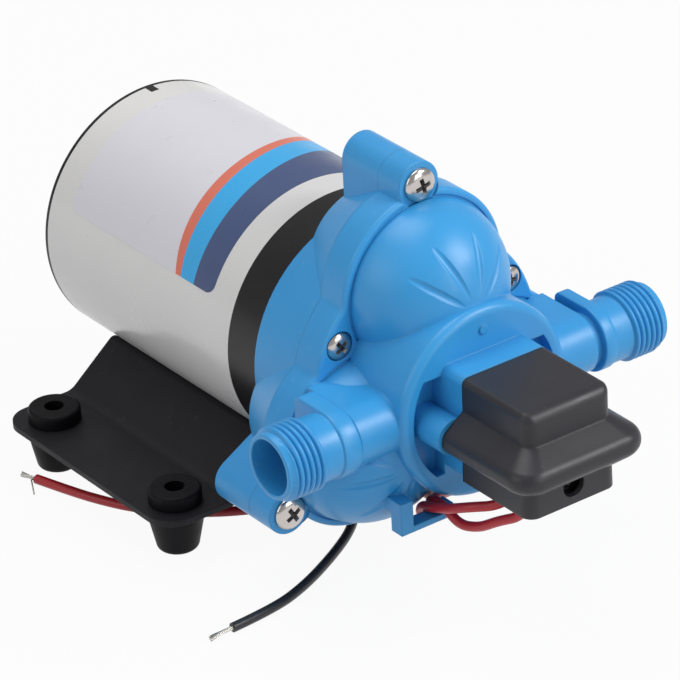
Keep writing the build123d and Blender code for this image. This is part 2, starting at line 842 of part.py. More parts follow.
# Rubber diaphragm: a flat rim, and a bowl down to a tilted pad in each chamber
with BuildPart() as diaphragm:
    with BuildSketch(front_plane(seam_station)):
        inner_outline(inner_plate_r, inner_plate_waist_r)
        with PolarLocations(chamber_offset, 3, start_angle=90):
            Circle(diaphragm_bowl_r - diaphragm_skin, mode=Mode.SUBTRACT)
    extrude(amount=diaphragm_thickness)
    for turn in (90, 210, 330):
        bowl_x = chamber_offset * cos(radians(turn))
        bowl_y = chamber_offset * sin(radians(turn))
        with BuildSketch(front_plane(seam_station + diaphragm_skin, bowl_x, bowl_y)):
            Circle(diaphragm_bowl_r)
        with BuildSketch(wobble_plane(pad_rise)):
            with Locations((bowl_x, bowl_y)):
                Circle(pad_r)
        loft()
        with BuildSketch(front_plane(plate_rear_station, bowl_x, bowl_y)):
            Circle(diaphragm_bowl_r - diaphragm_skin)
        with BuildSketch(wobble_plane(pad_rise + diaphragm_skin)):
            with Locations((bowl_x, bowl_y)):
                Circle(pad_r)
        loft(mode=Mode.SUBTRACT)
        with BuildSketch(wobble_plane(pad_rise)):
            with Locations((bowl_x, bowl_y)):
                Circle(neck_r + part_gap)
        extrude(amount=diaphragm_skin, mode=Mode.SUBTRACT)
write(diaphragm.part, "diaphragm")

# Valve plate: a cup over each chamber, inlet and outlet holes
outlet_hole_y = (-outlet_hole_r * 2.0, outlet_hole_r * 2.0)
with BuildPart() as valve_plate:
    with BuildSketch(front_plane(plate_rear_station)):
        inner_outline(inner_plate_r, inner_plate_waist_r)
    extrude(amount=valve_plate_thickness)
    with BuildSketch(front_plane(plate_rear_station)):
        with PolarLocations(chamber_offset, 3, start_angle=90):
            Circle(cup_r)
    extrude(amount=cup_depth, mode=Mode.SUBTRACT)
    with BuildSketch(front_plane(cup_ceiling_station)):
        with PolarLocations(inlet_valve_offset, 3, start_angle=90):
            Circle(valve_stem_r)
            with PolarLocations(inlet_hole_circle, inlet_hole_count):
                Circle(inlet_hole_r)
        with PolarLocations(outlet_hole_offset, 3, start_angle=90):
            Circle(outlet_hole_r)
            with Locations((0, outlet_hole_y[0]), (0, outlet_hole_y[1])):
                Circle(outlet_hole_r * 0.6)
    extrude(amount=valve_plate_thickness, mode=Mode.SUBTRACT)
    with BuildSketch(front_plane(plate_front_station - valve_bulb_height)):
        Circle(valve_stem_r)
    extrude(amount=valve_bulb_height, mode=Mode.SUBTRACT)
write(valve_plate.part, "valve_plate")

# Inlet valves: umbrellas in the cups, each held by a stem with a bulb
with BuildPart() as inlet_valves:
    with BuildSketch(front_plane(cup_ceiling_station - valve_rubber)):
        with PolarLocations(inlet_valve_offset, 3, start_angle=90):
            Circle(inlet_valve_r)
    extrude(amount=valve_rubber)
    with BuildSketch(front_plane(cup_ceiling_station)):
        with PolarLocations(inlet_valve_offset, 3, start_angle=90):
            Circle(valve_stem_r)
    extrude(amount=plate_front_station - cup_ceiling_station)
    with BuildSketch(front_plane(plate_front_station)):
        with PolarLocations(inlet_valve_offset, 3, start_angle=90):
            Circle(valve_bulb_r)
    extrude(amount=valve_bulb_height)
write(inlet_valves.part, "inlet_valves")

with BuildPart() as outlet_valve:
    with BuildSketch(front_plane(plate_front_station - valve_bulb_height)):
        Circle(valve_stem_r)
    extrude(amount=valve_bulb_height)
    with BuildSketch(front_plane(plate_front_station)):
        Circle(outlet_valve_r)
    extrude(amount=valve_rubber)
    with BuildSketch(front_plane(plate_front_station + valve_rubber)):
        Circle(2 * valve_bulb_r)
    extrude(amount=valve_bulb_height)
write(outlet_valve.part, "outlet_valve")

# Head seal: a band round the three inlet chambers and one round the outlet
with BuildPart() as head_seal:
    with BuildSketch(front_plane(plate_front_station)):
        inner_outline(inner_plate_r, inner_plate_waist_r)
        with PolarLocations(chamber_offset, 3, start_angle=90):
            Circle(inner_plate_r - seal_band, mode=Mode.SUBTRACT)
        Circle(hub_cavity_r + hub_cavity_wall)
        Circle(hub_cavity_r, mode=Mode.SUBTRACT)
    extrude(amount=seal_thickness)
write(head_seal.part, "head_seal")

# Space inside the head: three domed inlet chambers joined by a ring channel
dome_planes = [
    front_plane(
        flange_front_station - dome_sink,
        chamber_offset * cos(radians(turn)),
        chamber_offset * sin(radians(turn)),
    )
    for turn in (90, 210, 330)
]
with BuildPart() as inlet_space:
    with Locations(*dome_planes):
        Sphere(dome_r - dome_wall, arc_size1=0, arc_size2=90, align=dome_align)
    with BuildSketch(front_plane(seal_front_station)):
        with PolarLocations(chamber_offset, 3, start_angle=90):
            Circle(dome_r - dome_wall)
    extrude(amount=flange_front_station - seal_front_station)
    with BuildSketch(front_plane(seal_front_station)):
        Circle(hub_cavity_r + hub_cavity_wall + ring_channel)
    extrude(amount=ring_channel)
    with BuildSketch(front_plane(flange_front_station + dome_cavity_depth)):
        Circle(2 * hub_r)
    extrude(amount=dome_r, mode=Mode.SUBTRACT)
    with BuildSketch(front_plane(seal_front_station)):
        Circle(hub_cavity_r + hub_cavity_wall)
    extrude(amount=hub_length, mode=Mode.SUBTRACT)

# Creases of the domes: arcs that are deepest half way up and run out at both ends
crease_planes = []
crease_lift = dome_r + crease_r - crease_depth - crease_bow_r
crease_sweep = degrees(asin(dome_r / 2 / crease_bow_r)) + 2.0
for turn in (90, 210, 330):
    dome_x = chamber_offset * cos(radians(turn))
    dome_y = can_front_y - flange_front_station + dome_sink
    dome_z = axis_z + chamber_offset * sin(radians(turn))
    for angle in crease_angles:
        outward = Vector(cos(radians(turn + angle)), 0, sin(radians(turn + angle)))
        forward = Vector(0, -1, 0)
        middle = outward * sin(radians(crease_polar)) + forward * cos(radians(crease_polar))
        across = outward.cross(forward)
        start = middle.rotate(Axis((0, 0, 0), across), -crease_sweep)
        centre = Vector(dome_x, dome_y, dome_z) + middle * crease_lift
        crease_planes.append(Plane(centre, x_dir=start, z_dir=across))

# Pump head: flange, three domes, hub, switch plinth, two barrels and the wire clip
with BuildPart() as pump_head:
    with BuildSketch(front_plane(seam_station)) as flange_sketch:
        head_outline(lobe_r)
        ear_outline()
        waist_corners = [
            corner for corner in flange_sketch.vertices()
            if abs(corner.center().length - waist_r) < 0.05
        ]
        fillet(waist_corners, radius=outline_blend_r)
    extrude(amount=flange_thickness)
    rim = faces().filter_by(Axis.Y).group_by(Axis.Y)[0].edges()
    fillet(rim, radius=flange_round)
    with Locations(*dome_planes):
        Sphere(dome_r, arc_size1=0, arc_size2=90, align=dome_align)
    with Locations(*crease_planes):
        Torus(crease_bow_r, crease_r, major_angle=2 * crease_sweep, align=None, mode=Mode.SUBTRACT)
    # A fine step where each dome rises from the flange
    with BuildSketch(front_plane(flange_front_station)):
        with PolarLocations(chamber_offset, 3, start_angle=90):
            Circle(dome_r + dome_ring_width)
        with PolarLocations(chamber_offset, 3, start_angle=90):
            Circle(dome_r - 0.1, mode=Mode.SUBTRACT)
    extrude(amount=-dome_ring_depth, mode=Mode.SUBTRACT)
    with BuildSketch(front_plane(flange_front_station)):
        Circle(hub_r)
    extrude(amount=hub_length)
    fillet(faces().filter_by(Axis.Y).group_by(Axis.Y)[0].edges(), radius=hub_round)
    for side in (-1, 1):
        with BuildSketch(port_plane(side, hub_cavity_r + hub_cavity_wall)):
            barrel_outline(barrel_r, port_station - flange_front_station)
        extrude(amount=barrel_end - hub_cavity_r - hub_cavity_wall)
        # Room for the flange of the fitting, where it passes the dome
        with BuildSketch(port_plane(side, barrel_end)):
            barrel_outline(fitting_flange_r + part_gap, fitting_flange_rear + part_gap)
        extrude(amount=fitting_flange_outer - barrel_end + part_gap, mode=Mode.SUBTRACT)
    # Moats beside the plinth, with a screw pillar standing in each
    with BuildSketch(front_plane(moat_floor_station)):
        Circle(moat_outer_r)
        Rectangle(2 * plinth_half_width, 3 * moat_outer_r, mode=Mode.SUBTRACT)
        with Locations((0, moat_top + moat_outer_r)):
            Rectangle(3 * moat_outer_r, 2 * moat_outer_r, mode=Mode.SUBTRACT)
        with Locations((0, -moat_bottom - moat_outer_r)):
            Rectangle(3 * moat_outer_r, 2 * moat_outer_r, mode=Mode.SUBTRACT)
    extrude(amount=moat_depth, mode=Mode.SUBTRACT)
    with BuildSketch(front_plane(moat_floor_station, 0, (plinth_top - plinth_bottom) / 2)):
        RectangleRounded(2 * plinth_half_width, plinth_top + plinth_bottom, plinth_corner_r)
    extrude(amount=plinth_front_station - moat_floor_station)
    with BuildSketch(front_plane(moat_floor_station, 0, -pillar_drop)):
        with GridLocations(2 * pillar_x, 0, 2, 1):
            Circle(pillar_r)
    extrude(amount=plinth_front_station - moat_floor_station)
    with BuildSketch(front_plane(hub_front_station, 0, pip_rise)):
        Circle(pip_r)
    extrude(amount=pip_height)
    # Wire clip: a post, a bar under the wires and a nub that keeps them in
    clip_length = clip_right_x - clip_left_x
    with BuildSketch(front_plane(clip_rear_station)):
        with Locations((clip_left_x + clip_length / 2, -clip_drop - clip_thickness / 2)):
            Rectangle(clip_length, clip_thickness)
        with Locations((clip_left_x, -clip_drop)):
            Rectangle(clip_post_width, clip_post_height, align=(Align.MIN, Align.MIN))
        with Locations((clip_right_x, -clip_drop)):
            Rectangle(clip_nub_width, clip_nub_height, align=(Align.MAX, Align.MIN))
    extrude(amount=clip_width)
    with BuildSketch(front_plane(flange_front_station)):
        with Locations((clip_left_x, -clip_drop + clip_post_height / 2)):
            Rectangle(clip_post_width, clip_post_height / 2, align=(Align.MIN, Align.MIN))
    extrude(amount=clip_rear_station + clip_width - flange_front_station)
    # Inside: recess for diaphragm, valve plate and seal, inlet domes, outlet cavity
    with BuildSketch(front_plane(seam_station)):
        inner_outline(recess_r, recess_waist_r)
    extrude(amount=seal_front_station - seam_station, mode=Mode.SUBTRACT)
    add(inlet_space.part, mode=Mode.SUBTRACT)
    with BuildSketch(front_plane(seal_front_station)):
        Circle(hub_cavity_r)
    extrude(amount=hub_cavity_depth, mode=Mode.SUBTRACT)
    # Inlet on the left, outlet with its valve seat on the right
    with BuildSketch(port_plane(-1, valve_seat_x - 1.0)):
        Circle(inlet_bore_r)
    extrude(amount=barrel_end, mode=Mode.SUBTRACT)
    with BuildSketch(port_plane(-1, spigot_end)):
        Circle(spigot_socket_r)
    extrude(amount=barrel_end, mode=Mode.SUBTRACT)
    with BuildSketch(port_plane(1, hub_cavity_r - hub_cavity_wall)):
        Circle(valve_seat_r)
    extrude(amount=barrel_end, mode=Mode.SUBTRACT)
    with BuildSketch(port_plane(1, valve_seat_x)):
        Circle(spigot_socket_r)
    extrude(amount=barrel_end, mode=Mode.SUBTRACT)
    # Pressure port, sense chamber and the seat of the switch diaphragm
    with BuildSketch(front_plane(hub_front_station - hub_cavity_wall - plinth_length, 0, -sense_drop)):
        Circle(sense_port_r)
    extrude(amount=2 * plinth_length + hub_cavity_wall, mode=Mode.SUBTRACT)
    sense_seat = plinth_front_station - switch_diaphragm_thickness
    with BuildSketch(front_plane(sense_seat - sense_chamber_depth, 0, -sense_drop)):
        Circle(sense_chamber_r)
    extrude(amount=plinth_length, mode=Mode.SUBTRACT)
    with BuildSketch(front_plane(sense_seat, 0, -sense_drop)):
        Circle(switch_diaphragm_r)
    extrude(amount=plinth_length, mode=Mode.SUBTRACT)
    # Seats and holes for the head screws and the switch screws
    with BuildSketch(front_plane(long_screw_seat_station)):
        with PolarLocations(long_screw_circle, 3, start_angle=90):
            Circle(screw_ear_r)
    extrude(amount=flange_front_station - long_screw_seat_station, mode=Mode.SUBTRACT)
    with BuildSketch(front_plane(seam_station)):
        with PolarLocations(long_screw_circle, 3, start_angle=90):
            Circle(long_screw_r)
        with PolarLocations(short_screw_circle, 3, start_angle=30):
            Circle(short_screw_r)
    extrude(amount=flange_thickness, mode=Mode.SUBTRACT)
    with BuildSketch(front_plane(short_screw_seat_station)):
        with PolarLocations(short_screw_circle, 3, start_angle=30):
            Circle(short_screw_head_r + screw_gap)
    extrude(amount=2 * short_screw_head_height, mode=Mode.SUBTRACT)
    switch_screw_seat = plinth_front_station + body_ear_thickness
    with BuildSketch(front_plane(switch_screw_seat - switch_screw_length, 0, -pillar_drop)):
        with GridLocations(2 * pillar_x, 0, 2, 1):
            Circle(switch_screw_r)
    extrude(amount=switch_screw_length, mode=Mode.SUBTRACT)
write(pump_head.part, "pump_head")

# Pan head screws: long ones in the ears, short ones between the domes
long_screws = (
    "head_screws_long",
    long_screw_seat_station,
    long_screw_circle,
    90,
    long_screw_head_r,
    long_screw_head_height,
    long_screw_r,
    long_screw_length,
)
short_screws = (
    "head_screws_short",
    short_screw_seat_station,
    short_screw_circle,
    30,
    short_screw_head_r,
    short_screw_head_height,
    short_screw_r,
    short_screw_length,
)
for label, seat, circle, start, head_r, head_height, shank_r, shank_length in (
    long_screws,
    short_screws,
):
    with BuildPart() as head_screws:
        with BuildSketch(front_plane(seat)):
            with PolarLocations(circle, 3, start_angle=start):
                Circle(head_r)
        extrude(amount=head_height)
        head_rims = faces().filter_by(Axis.Y).group_by(Axis.Y)[0].edges()
        fillet(head_rims, radius=0.6 * head_height)
        with BuildSketch(front_plane(seat - shank_length)):
            with PolarLocations(circle, 3, start_angle=start):
                Circle(shank_r)
        extrude(amount=shank_length)
    write(head_screws.part, label)

# Port fittings: threaded mouth, collar, D flange with flat top and bottom, neck, spigot
for side, label in ((-1, "inlet_fitting"), (1, "outlet_fitting")):
    with BuildPart() as fitting:
        with BuildSketch(port_plane(side, thread_start)):
            Circle(thread_r)
        extrude(amount=thread_length)
        tip = edges().filter_by(GeomType.CIRCLE).sort_by(Axis.X)[-1 if side > 0 else 0]
        chamfer(tip, length=thread_lead_in)
        with BuildSketch(port_plane(side, fitting_flange_outer)):
            Circle(collar_r)
        extrude(amount=collar_length)
        with BuildSketch(port_plane(side, fitting_flange_inner)):
            barrel_outline(fitting_flange_r, fitting_flange_rear)
        extrude(amount=fitting_flange_thickness)
        with BuildSketch(port_plane(side, barrel_end)):
            Circle(fitting_neck_r)
        extrude(amount=fitting_neck_length)
        with BuildSketch(port_plane(side, spigot_end)):
            Circle(spigot_r)
        extrude(amount=spigot_length)
        with BuildSketch(port_plane(side, o_ring_position - o_ring_groove_width / 2)):
            Circle(spigot_r)
            Circle(spigot_socket_r - 2 * o_ring_section_r, mode=Mode.SUBTRACT)
        extrude(amount=o_ring_groove_width, mode=Mode.SUBTRACT)
        with BuildSketch(port_plane(side, spigot_end)):
            Circle(spigot_bore_r)
        extrude(amount=port_reach - spigot_end, mode=Mode.SUBTRACT)
        with BuildSketch(port_plane(side, port_reach - port_bore_depth)):
            Circle(port_bore_r)
        extrude(amount=port_bore_depth, mode=Mode.SUBTRACT)
        with BuildSketch(port_plane(side, screen_seat)):
            Circle(port_bore_r - screen_seat_ledge)
        extrude(amount=screen_seat_depth, mode=Mode.SUBTRACT)
    write(fitting.part, label)

with BuildPart() as port_o_rings:
    for side in (-1, 1):
        with Locations(port_plane(side, o_ring_position)):
            Torus(spigot_socket_r - o_ring_section_r, o_ring_section_r)
write(port_o_rings.part, "port_o_rings")

with BuildPart() as inlet_screen:
    with BuildSketch(port_plane(-1, screen_seat)):
        Circle(port_bore_r - screen_seat_ledge - running_gap)
        Circle(screen_hole_r, mode=Mode.SUBTRACT)
        with PolarLocations(screen_hole_circle, screen_hole_count):
            Circle(screen_hole_r, mode=Mode.SUBTRACT)
    extrude(amount=screen_thickness)
write(inlet_screen.part, "inlet_screen")

# Check valve in the outlet: poppet on the seat, spring back to the spigot
poppet_start = valve_seat_x + part_gap
with BuildPart() as check_valve_poppet:
    with BuildSketch(port_plane(1, poppet_start)):
        Circle(poppet_r)
    extrude(amount=poppet_thickness)
    with BuildSketch(port_plane(1, poppet_start + poppet_thickness)):
        Circle(poppet_stem_r)
    extrude(amount=poppet_stem_length)
write(check_valve_poppet.part, "check_valve_poppet")

with BuildPart() as check_valve_spring:
    with BuildSketch(port_plane(1, poppet_start + poppet_thickness + part_gap)):
        Circle(spigot_bore_r + check_spring_wall)
        Circle(spigot_bore_r, mode=Mode.SUBTRACT)
    extrude(amount=spigot_end - poppet_start - poppet_thickness - part_gap)
write(check_valve_spring.part, "check_valve_spring")

# Switch boot: a rubber box with a bulging belt, open to the plinth at the rear
boot_rise = (boot_top - boot_bottom) / 2
boot_height = boot_top + boot_bottom
belt_front = boot_length + belt_reach
belt_size_x = 2 * boot_half_width + 2 * belt_reach
belt_corner_r = boot_corner_r + belt_reach / 2
with BuildPart() as switch_boot:
    with BuildSketch(front_plane(plinth_front_station, 0, boot_rise)):
        RectangleRounded(2 * boot_half_width, boot_height, boot_edge_r)
    extrude(amount=boot_length)
    fillet(edges().filter_by(Axis.Z).group_by(Axis.Y)[0], radius=boot_corner_r)
    with BuildSketch(level_plane(-boot_bottom)):
        with Locations((0, -plinth_front_station)):
            RectangleRounded(2 * boot_lower_half_width, 2 * boot_length + 1.0, boot_corner_r)
    extrude(amount=boot_bottom - belt_flat_bottom, taper=1.0)
    for rise, base_rise in ((belt_flat_top, belt_top), (-belt_flat_bottom, -belt_bottom)):
        with BuildSketch(level_plane(rise)):
            with Locations((0, -plinth_front_station)):
                RectangleRounded(belt_size_x, 2 * belt_front, belt_corner_r)
        with BuildSketch(level_plane(base_rise)):
            with Locations((0, -plinth_front_station)):
                RectangleRounded(2 * boot_half_width, 2 * boot_length, boot_corner_r)
        loft()
    with BuildSketch(level_plane(-belt_flat_bottom)):
        with Locations((0, -plinth_front_station)):
            RectangleRounded(belt_size_x, 2 * belt_front, belt_corner_r)
    extrude(amount=belt_flat_bottom + belt_flat_top)
    belt_reach_edges = [
        edge for edge in edges() if abs(edge.center(CenterOf.BOUNDING_BOX).Z - axis_z - belt_flat_top) < 0.01
        or abs(edge.center(CenterOf.BOUNDING_BOX).Z - axis_z + belt_flat_bottom) < 0.01
    ]
    fillet(belt_reach_edges, radius=belt_nose_r)
    split(bisect_by=front_plane(plinth_front_station), keep=Keep.TOP)
    with BuildSketch(front_plane(plinth_front_station, 0, boot_rise)):
        Rectangle(2 * boot_half_width - 2 * boot_wall, boot_height - 2 * boot_wall)
    extrude(amount=boot_length - boot_wall, mode=Mode.SUBTRACT)
    with BuildSketch(front_plane(plinth_front_station, 0, -pillar_drop)):
        SlotOverall(2 * (pillar_x + body_ear_r + part_gap), 2 * (body_ear_r + part_gap))
    extrude(amount=body_ear_thickness + switch_screw_head_height + part_gap, mode=Mode.SUBTRACT)
    with BuildSketch(front_plane(plinth_front_station, 0, -sense_drop)):
        Circle(adjuster_window_r)
    extrude(amount=boot_length + belt_reach, mode=Mode.SUBTRACT)
    with BuildSketch(level_plane(-boot_bottom)):
        with Locations((terminal_x, -link_terminal_station), (terminal_x, -supply_terminal_station)):
            Circle(lead_window_r)
    extrude(amount=boot_wall + 1.0, mode=Mode.SUBTRACT)
write(switch_boot.part, "switch_boot")

# Switch body: a block with ears, a bore for plunger, spring and nut, and two pockets
body_rise = (body_top - body_bottom) / 2
nut_bore_station = plinth_front_station + nut_bore_start
with BuildPart() as switch_body:
    with BuildSketch(front_plane(plinth_front_station, 0, body_rise)):
        RectangleRounded(2 * body_half_width, body_top + body_bottom, 1.5)
    extrude(amount=body_length)
    with BuildSketch(front_plane(plinth_front_station, 0, -pillar_drop)):
        SlotOverall(2 * (pillar_x + body_ear_r), 2 * body_ear_r)
    extrude(amount=body_ear_thickness)
    with BuildSketch(front_plane(plinth_front_station, 0, -pillar_drop)):
        with GridLocations(2 * pillar_x, 0, 2, 1):
            Circle(switch_screw_r)
    extrude(amount=body_ear_thickness, mode=Mode.SUBTRACT)
    with BuildSketch(front_plane(plinth_front_station, 0, -sense_drop)):
        Circle(spring_bore_r)
    extrude(amount=nut_bore_start, mode=Mode.SUBTRACT)
    with BuildSketch(front_plane(nut_bore_station, 0, -sense_drop)):
        Rectangle(nut_side + 2 * slide_gap, nut_side + 2 * slide_gap)
    extrude(amount=body_length - nut_bore_start - adjuster_wall, mode=Mode.SUBTRACT)
    with BuildSketch(front_plane(nut_bore_station, 0, -sense_drop)):
        Circle(adjuster_r + running_gap)
    extrude(amount=body_length, mode=Mode.SUBTRACT)
    # Slot for the plunger arm
    arm_slot = plunger_arm_width + 2 * part_gap
    with BuildSketch(front_plane(plinth_front_station, 0, -sense_drop)):
        Rectangle(
            arm_slot,
            plunger_arm_top + sense_drop + part_gap,
            align=(Align.CENTER, Align.MIN),
        )
    extrude(amount=micro_station - plinth_front_station, mode=Mode.SUBTRACT)
    # Pocket for the microswitch, open at the front
    with BuildSketch(front_plane(micro_station, 0, micro_bottom)):
        Rectangle(
            2 * micro_half_width + 2 * running_gap,
            micro_height + running_gap,
            align=(Align.CENTER, Align.MIN),
        )
    extrude(amount=body_length, mode=Mode.SUBTRACT)
    # Pocket for the terminals, open at the front and below
    pocket_start = link_terminal_station - terminal_width
    with BuildSketch(front_plane(pocket_start)):
        with Locations((terminal_pocket_x, terminal_rise + 2 * terminal_thickness)):
            Rectangle(
                terminal_pocket_wall - terminal_pocket_x,
                2 * body_bottom,
                align=(Align.MIN, Align.MAX),
            )
        with Locations((terminal_pocket_x, terminal_rise - terminal_thickness)):
            Rectangle(
                -micro_half_width - terminal_pocket_x,
                3 * terminal_thickness,
                align=(Align.MIN, Align.MIN),
            )
    extrude(amount=body_length, mode=Mode.SUBTRACT)
write(switch_body.part, "switch_body")

with BuildPart() as switch_screws:
    with BuildSketch(front_plane(switch_screw_seat, 0, -pillar_drop)):
        with GridLocations(2 * pillar_x, 0, 2, 1):
            Circle(switch_screw_head_r)
    extrude(amount=switch_screw_head_height)
    with BuildSketch(front_plane(switch_screw_seat - switch_screw_length, 0, -pillar_drop)):
        with GridLocations(2 * pillar_x, 0, 2, 1):
            Circle(switch_screw_r)
    extrude(amount=switch_screw_length)
write(switch_screws.part, "switch_screws")

with BuildPart() as switch_diaphragm:
    with BuildSketch(front_plane(sense_seat, 0, -sense_drop)):
        Circle(switch_diaphragm_r)
    extrude(amount=switch_diaphragm_thickness)
write(switch_diaphragm.part, "switch_diaphragm")

# Plunger: a plate on the diaphragm and an arm up to the microswitch button
with BuildPart() as switch_plunger:
    with BuildSketch(front_plane(plunger_station, 0, -sense_drop)):
        Circle(spring_bore_r - part_gap)
        Rectangle(
            plunger_arm_width, plunger_arm_top + sense_drop, align=(Align.CENTER, Align.MIN)
        )
    extrude(amount=plunger_thickness)
write(switch_plunger.part, "switch_plunger")

spring_rear_station = plunger_station + plunger_thickness + part_gap
with BuildPart() as switch_spring:
    with BuildSketch(front_plane(spring_rear_station, 0, -sense_drop)):
        Circle(switch_spring_r)
        Circle(switch_spring_r - switch_spring_wall, mode=Mode.SUBTRACT)
    extrude(amount=nut_station - part_gap - spring_rear_station)
write(switch_spring.part, "switch_spring")

with BuildPart() as spring_nut:
    with BuildSketch(front_plane(nut_station, 0, -sense_drop)):
        Rectangle(nut_side, nut_side)
        Circle(adjuster_r + running_gap, mode=Mode.SUBTRACT)
    extrude(amount=nut_thickness)
write(spring_nut.part, "spring_nut")

# Adjuster screw with a slotted head behind the window of the boot
adjuster_seat = body_front_station + part_gap
with BuildPart() as switch_adjuster:
    with BuildSketch(front_plane(adjuster_seat, 0, -sense_drop)):
        Circle(adjuster_head_r)
    extrude(amount=adjuster_head_thickness)
    with BuildSketch(front_plane(adjuster_seat - adjuster_length, 0, -sense_drop)):
        Circle(adjuster_r)
    extrude(amount=adjuster_length)
    with BuildSketch(front_plane(adjuster_seat + adjuster_slot, 0, -sense_drop)):
        Rectangle(3 * adjuster_r, adjuster_slot)
        Rectangle(adjuster_slot, 3 * adjuster_r)
    extrude(amount=adjuster_head_thickness, mode=Mode.SUBTRACT)
write(switch_adjuster.part, "switch_adjuster")

with BuildPart() as microswitch:
    with BuildSketch(front_plane(micro_station, 0, micro_bottom)):
        Rectangle(2 * micro_half_width, micro_height, align=(Align.CENTER, Align.MIN))
    extrude(amount=micro_length)
    with BuildSketch(front_plane(micro_station - button_height, 0, plunger_arm_top - 2.0)):
        Circle(button_r)
    extrude(amount=button_height)
write(microswitch.part, "microswitch")

# Terminals: angled blades from the side of the microswitch down to the wire ends
with BuildPart() as switch_terminals:
    for station in (link_terminal_station, supply_terminal_station):
        with BuildSketch(front_plane(station - terminal_width / 2)):
            with Locations((-micro_half_width, terminal_rise)):
                Rectangle(
                    -terminal_x - micro_half_width + terminal_thickness / 2,
                    terminal_thickness,
                    align=(Align.MAX, Align.MIN),
                )
            with Locations((terminal_x, -terminal_end_drop)):
                Rectangle(
                    terminal_thickness,
                    terminal_end_drop + terminal_rise + terminal_thickness,
                    align=(Align.CENTER, Align.MIN),
                )
        extrude(amount=terminal_width)
write(switch_terminals.part, "switch_terminals")

# Leads. The points of a route stay as chosen; its ends are tied to what it enters.
link_y = can_front_y - link_terminal_station
supply_y = can_front_y - supply_terminal_station
terminal_z = axis_z - terminal_end_drop
grommet_inner_z = axis_z - can_r + bell_side
grommet_clear_z = grommet_foot_z - 2.3
link_route = (
    (lead_pitch, grommet_y, grommet_inner_z),
    (lead_pitch, grommet_y, grommet_clear_z),
    (0.6, -46.5, grommet_clear_z - 1.0),
    (-0.8, -56.0, 13.6),
    (0.2, -68.0, 13.2),
    (-1.2, -77.0, 15.2),
    (-5.0, -83.0, 19.4),
    (-12.0, -88.6, 22.0),
    (-17.6, -92.0, 23.6),
    (-18.6, -94.1, 27.2),
    (-18.7, -98.4, 28.6),
    (-17.6, -105.0, 30.6),
    (-15.6, -111.0, 33.0),
    (-11.2, -116.5, 34.2),
    (terminal_x, link_y, 37.0),
    (terminal_x, link_y, terminal_z),
)
supply_front_route = (
    (3.6, -63.0, 9.8),
    (3.4, -70.5, 12.8),
    (2.2, -78.5, 16.6),
    (-1.4, -84.6, 21.0),
    (-8.2, -89.0, 24.4),
    (-14.6, -92.4, 26.2),
    (-15.4, -95.4, 28.4),
    (-15.5, -100.2, 28.4),
    (-14.9, -106.2, 25.0),
    (-13.2, -112.4, 26.4),
    (-11.4, -118.8, 30.6),
    (-9.4, -124.2, 33.4),
    (terminal_x, supply_y, 37.0),
    (terminal_x, supply_y, terminal_z),
)
red_route = (
    (3.6, -63.0, 9.8),
    (3.8, -56.5, 7.2),
    (1.6, -48.5, 4.2),
    (-6.0, -41.5, 2.0),
    (-18.0, -34.6, lead_floor),
    (-32.0, -29.0, lead_floor),
    (-44.6, -19.6, lead_floor),
    (-54.3, -7.8, lead_floor),
    (-59.4, 2.2, lead_floor),
    (-63.4, 13.0, lead_floor),
    (-66.9, 25.0, lead_floor),
)
black_route = (
    (-lead_pitch, grommet_y, grommet_inner_z),
    (-lead_pitch, grommet_y, grommet_clear_z + 0.8),
    (-2.6, -42.6, 9.4),
    (-5.4, -46.2, 5.2),
    (-10.0, -51.2, 2.4),
    (-17.0, -57.6, lead_floor),
    (-29.0, -65.0, lead_floor),
    (-42.9, -72.0, lead_floor),
    (-56.2, -76.2, lead_floor),
    (-70.9, -76.8, lead_floor),
)
red_end_route = ((-66.9, 25.0, lead_floor), (-68.0, 27.2, 1.6), (-69.1, 29.3, 2.0))
black_end_route = ((-70.9, -76.8, lead_floor), (-74.8, -76.7, 1.5), (-78.6, -77.4, 1.4))
for label, route, radius in (
    ("switch_link_lead", link_route, lead_r),
    ("supply_lead_front", supply_front_route, lead_r),
    ("red_lead", red_route, lead_r),
    ("black_lead", black_route, lead_r),
    ("red_lead_end", red_end_route, bare_r),
    ("black_lead_end", black_end_route, bare_r),
):
    radii = corner_radii(route)
    with BuildPart() as lead:
        with BuildLine() as path:
            FilletPolyline(*route, radius=radii)
        middle = path.wire()
        with BuildSketch(Plane(origin=middle @ 0, z_dir=middle % 0)):
            Circle(radius)
        sweep(path=middle)
    plain_volume = pi * radius**2 * middle.length
    print(label, "length", round(middle.length, 1), "radii", [round(r, 1) for r in radii])
    print(label, "volume ratio", round(lead.part.volume / plain_volume, 4))
    write(lead.part, label)
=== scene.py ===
# Diaphragm pump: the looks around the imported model. Metres, +Z up, the switch faces -Y.
import math
import bmesh
import bpy
from mathutils import Matrix, Vector


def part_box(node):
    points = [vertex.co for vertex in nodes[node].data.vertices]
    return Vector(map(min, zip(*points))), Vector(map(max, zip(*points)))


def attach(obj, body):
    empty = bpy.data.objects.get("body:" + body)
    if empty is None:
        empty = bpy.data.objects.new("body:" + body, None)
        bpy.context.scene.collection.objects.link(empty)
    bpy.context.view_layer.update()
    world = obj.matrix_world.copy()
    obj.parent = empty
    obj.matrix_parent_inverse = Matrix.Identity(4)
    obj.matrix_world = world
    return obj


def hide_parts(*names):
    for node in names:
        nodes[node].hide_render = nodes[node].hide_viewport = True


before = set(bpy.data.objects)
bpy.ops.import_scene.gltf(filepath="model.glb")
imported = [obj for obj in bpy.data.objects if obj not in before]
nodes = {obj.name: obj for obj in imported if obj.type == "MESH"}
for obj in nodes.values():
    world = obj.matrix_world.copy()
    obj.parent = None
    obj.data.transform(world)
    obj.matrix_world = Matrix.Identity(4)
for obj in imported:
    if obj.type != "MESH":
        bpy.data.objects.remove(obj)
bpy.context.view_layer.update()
mm = 0.001
fullTurn = 2 * math.pi
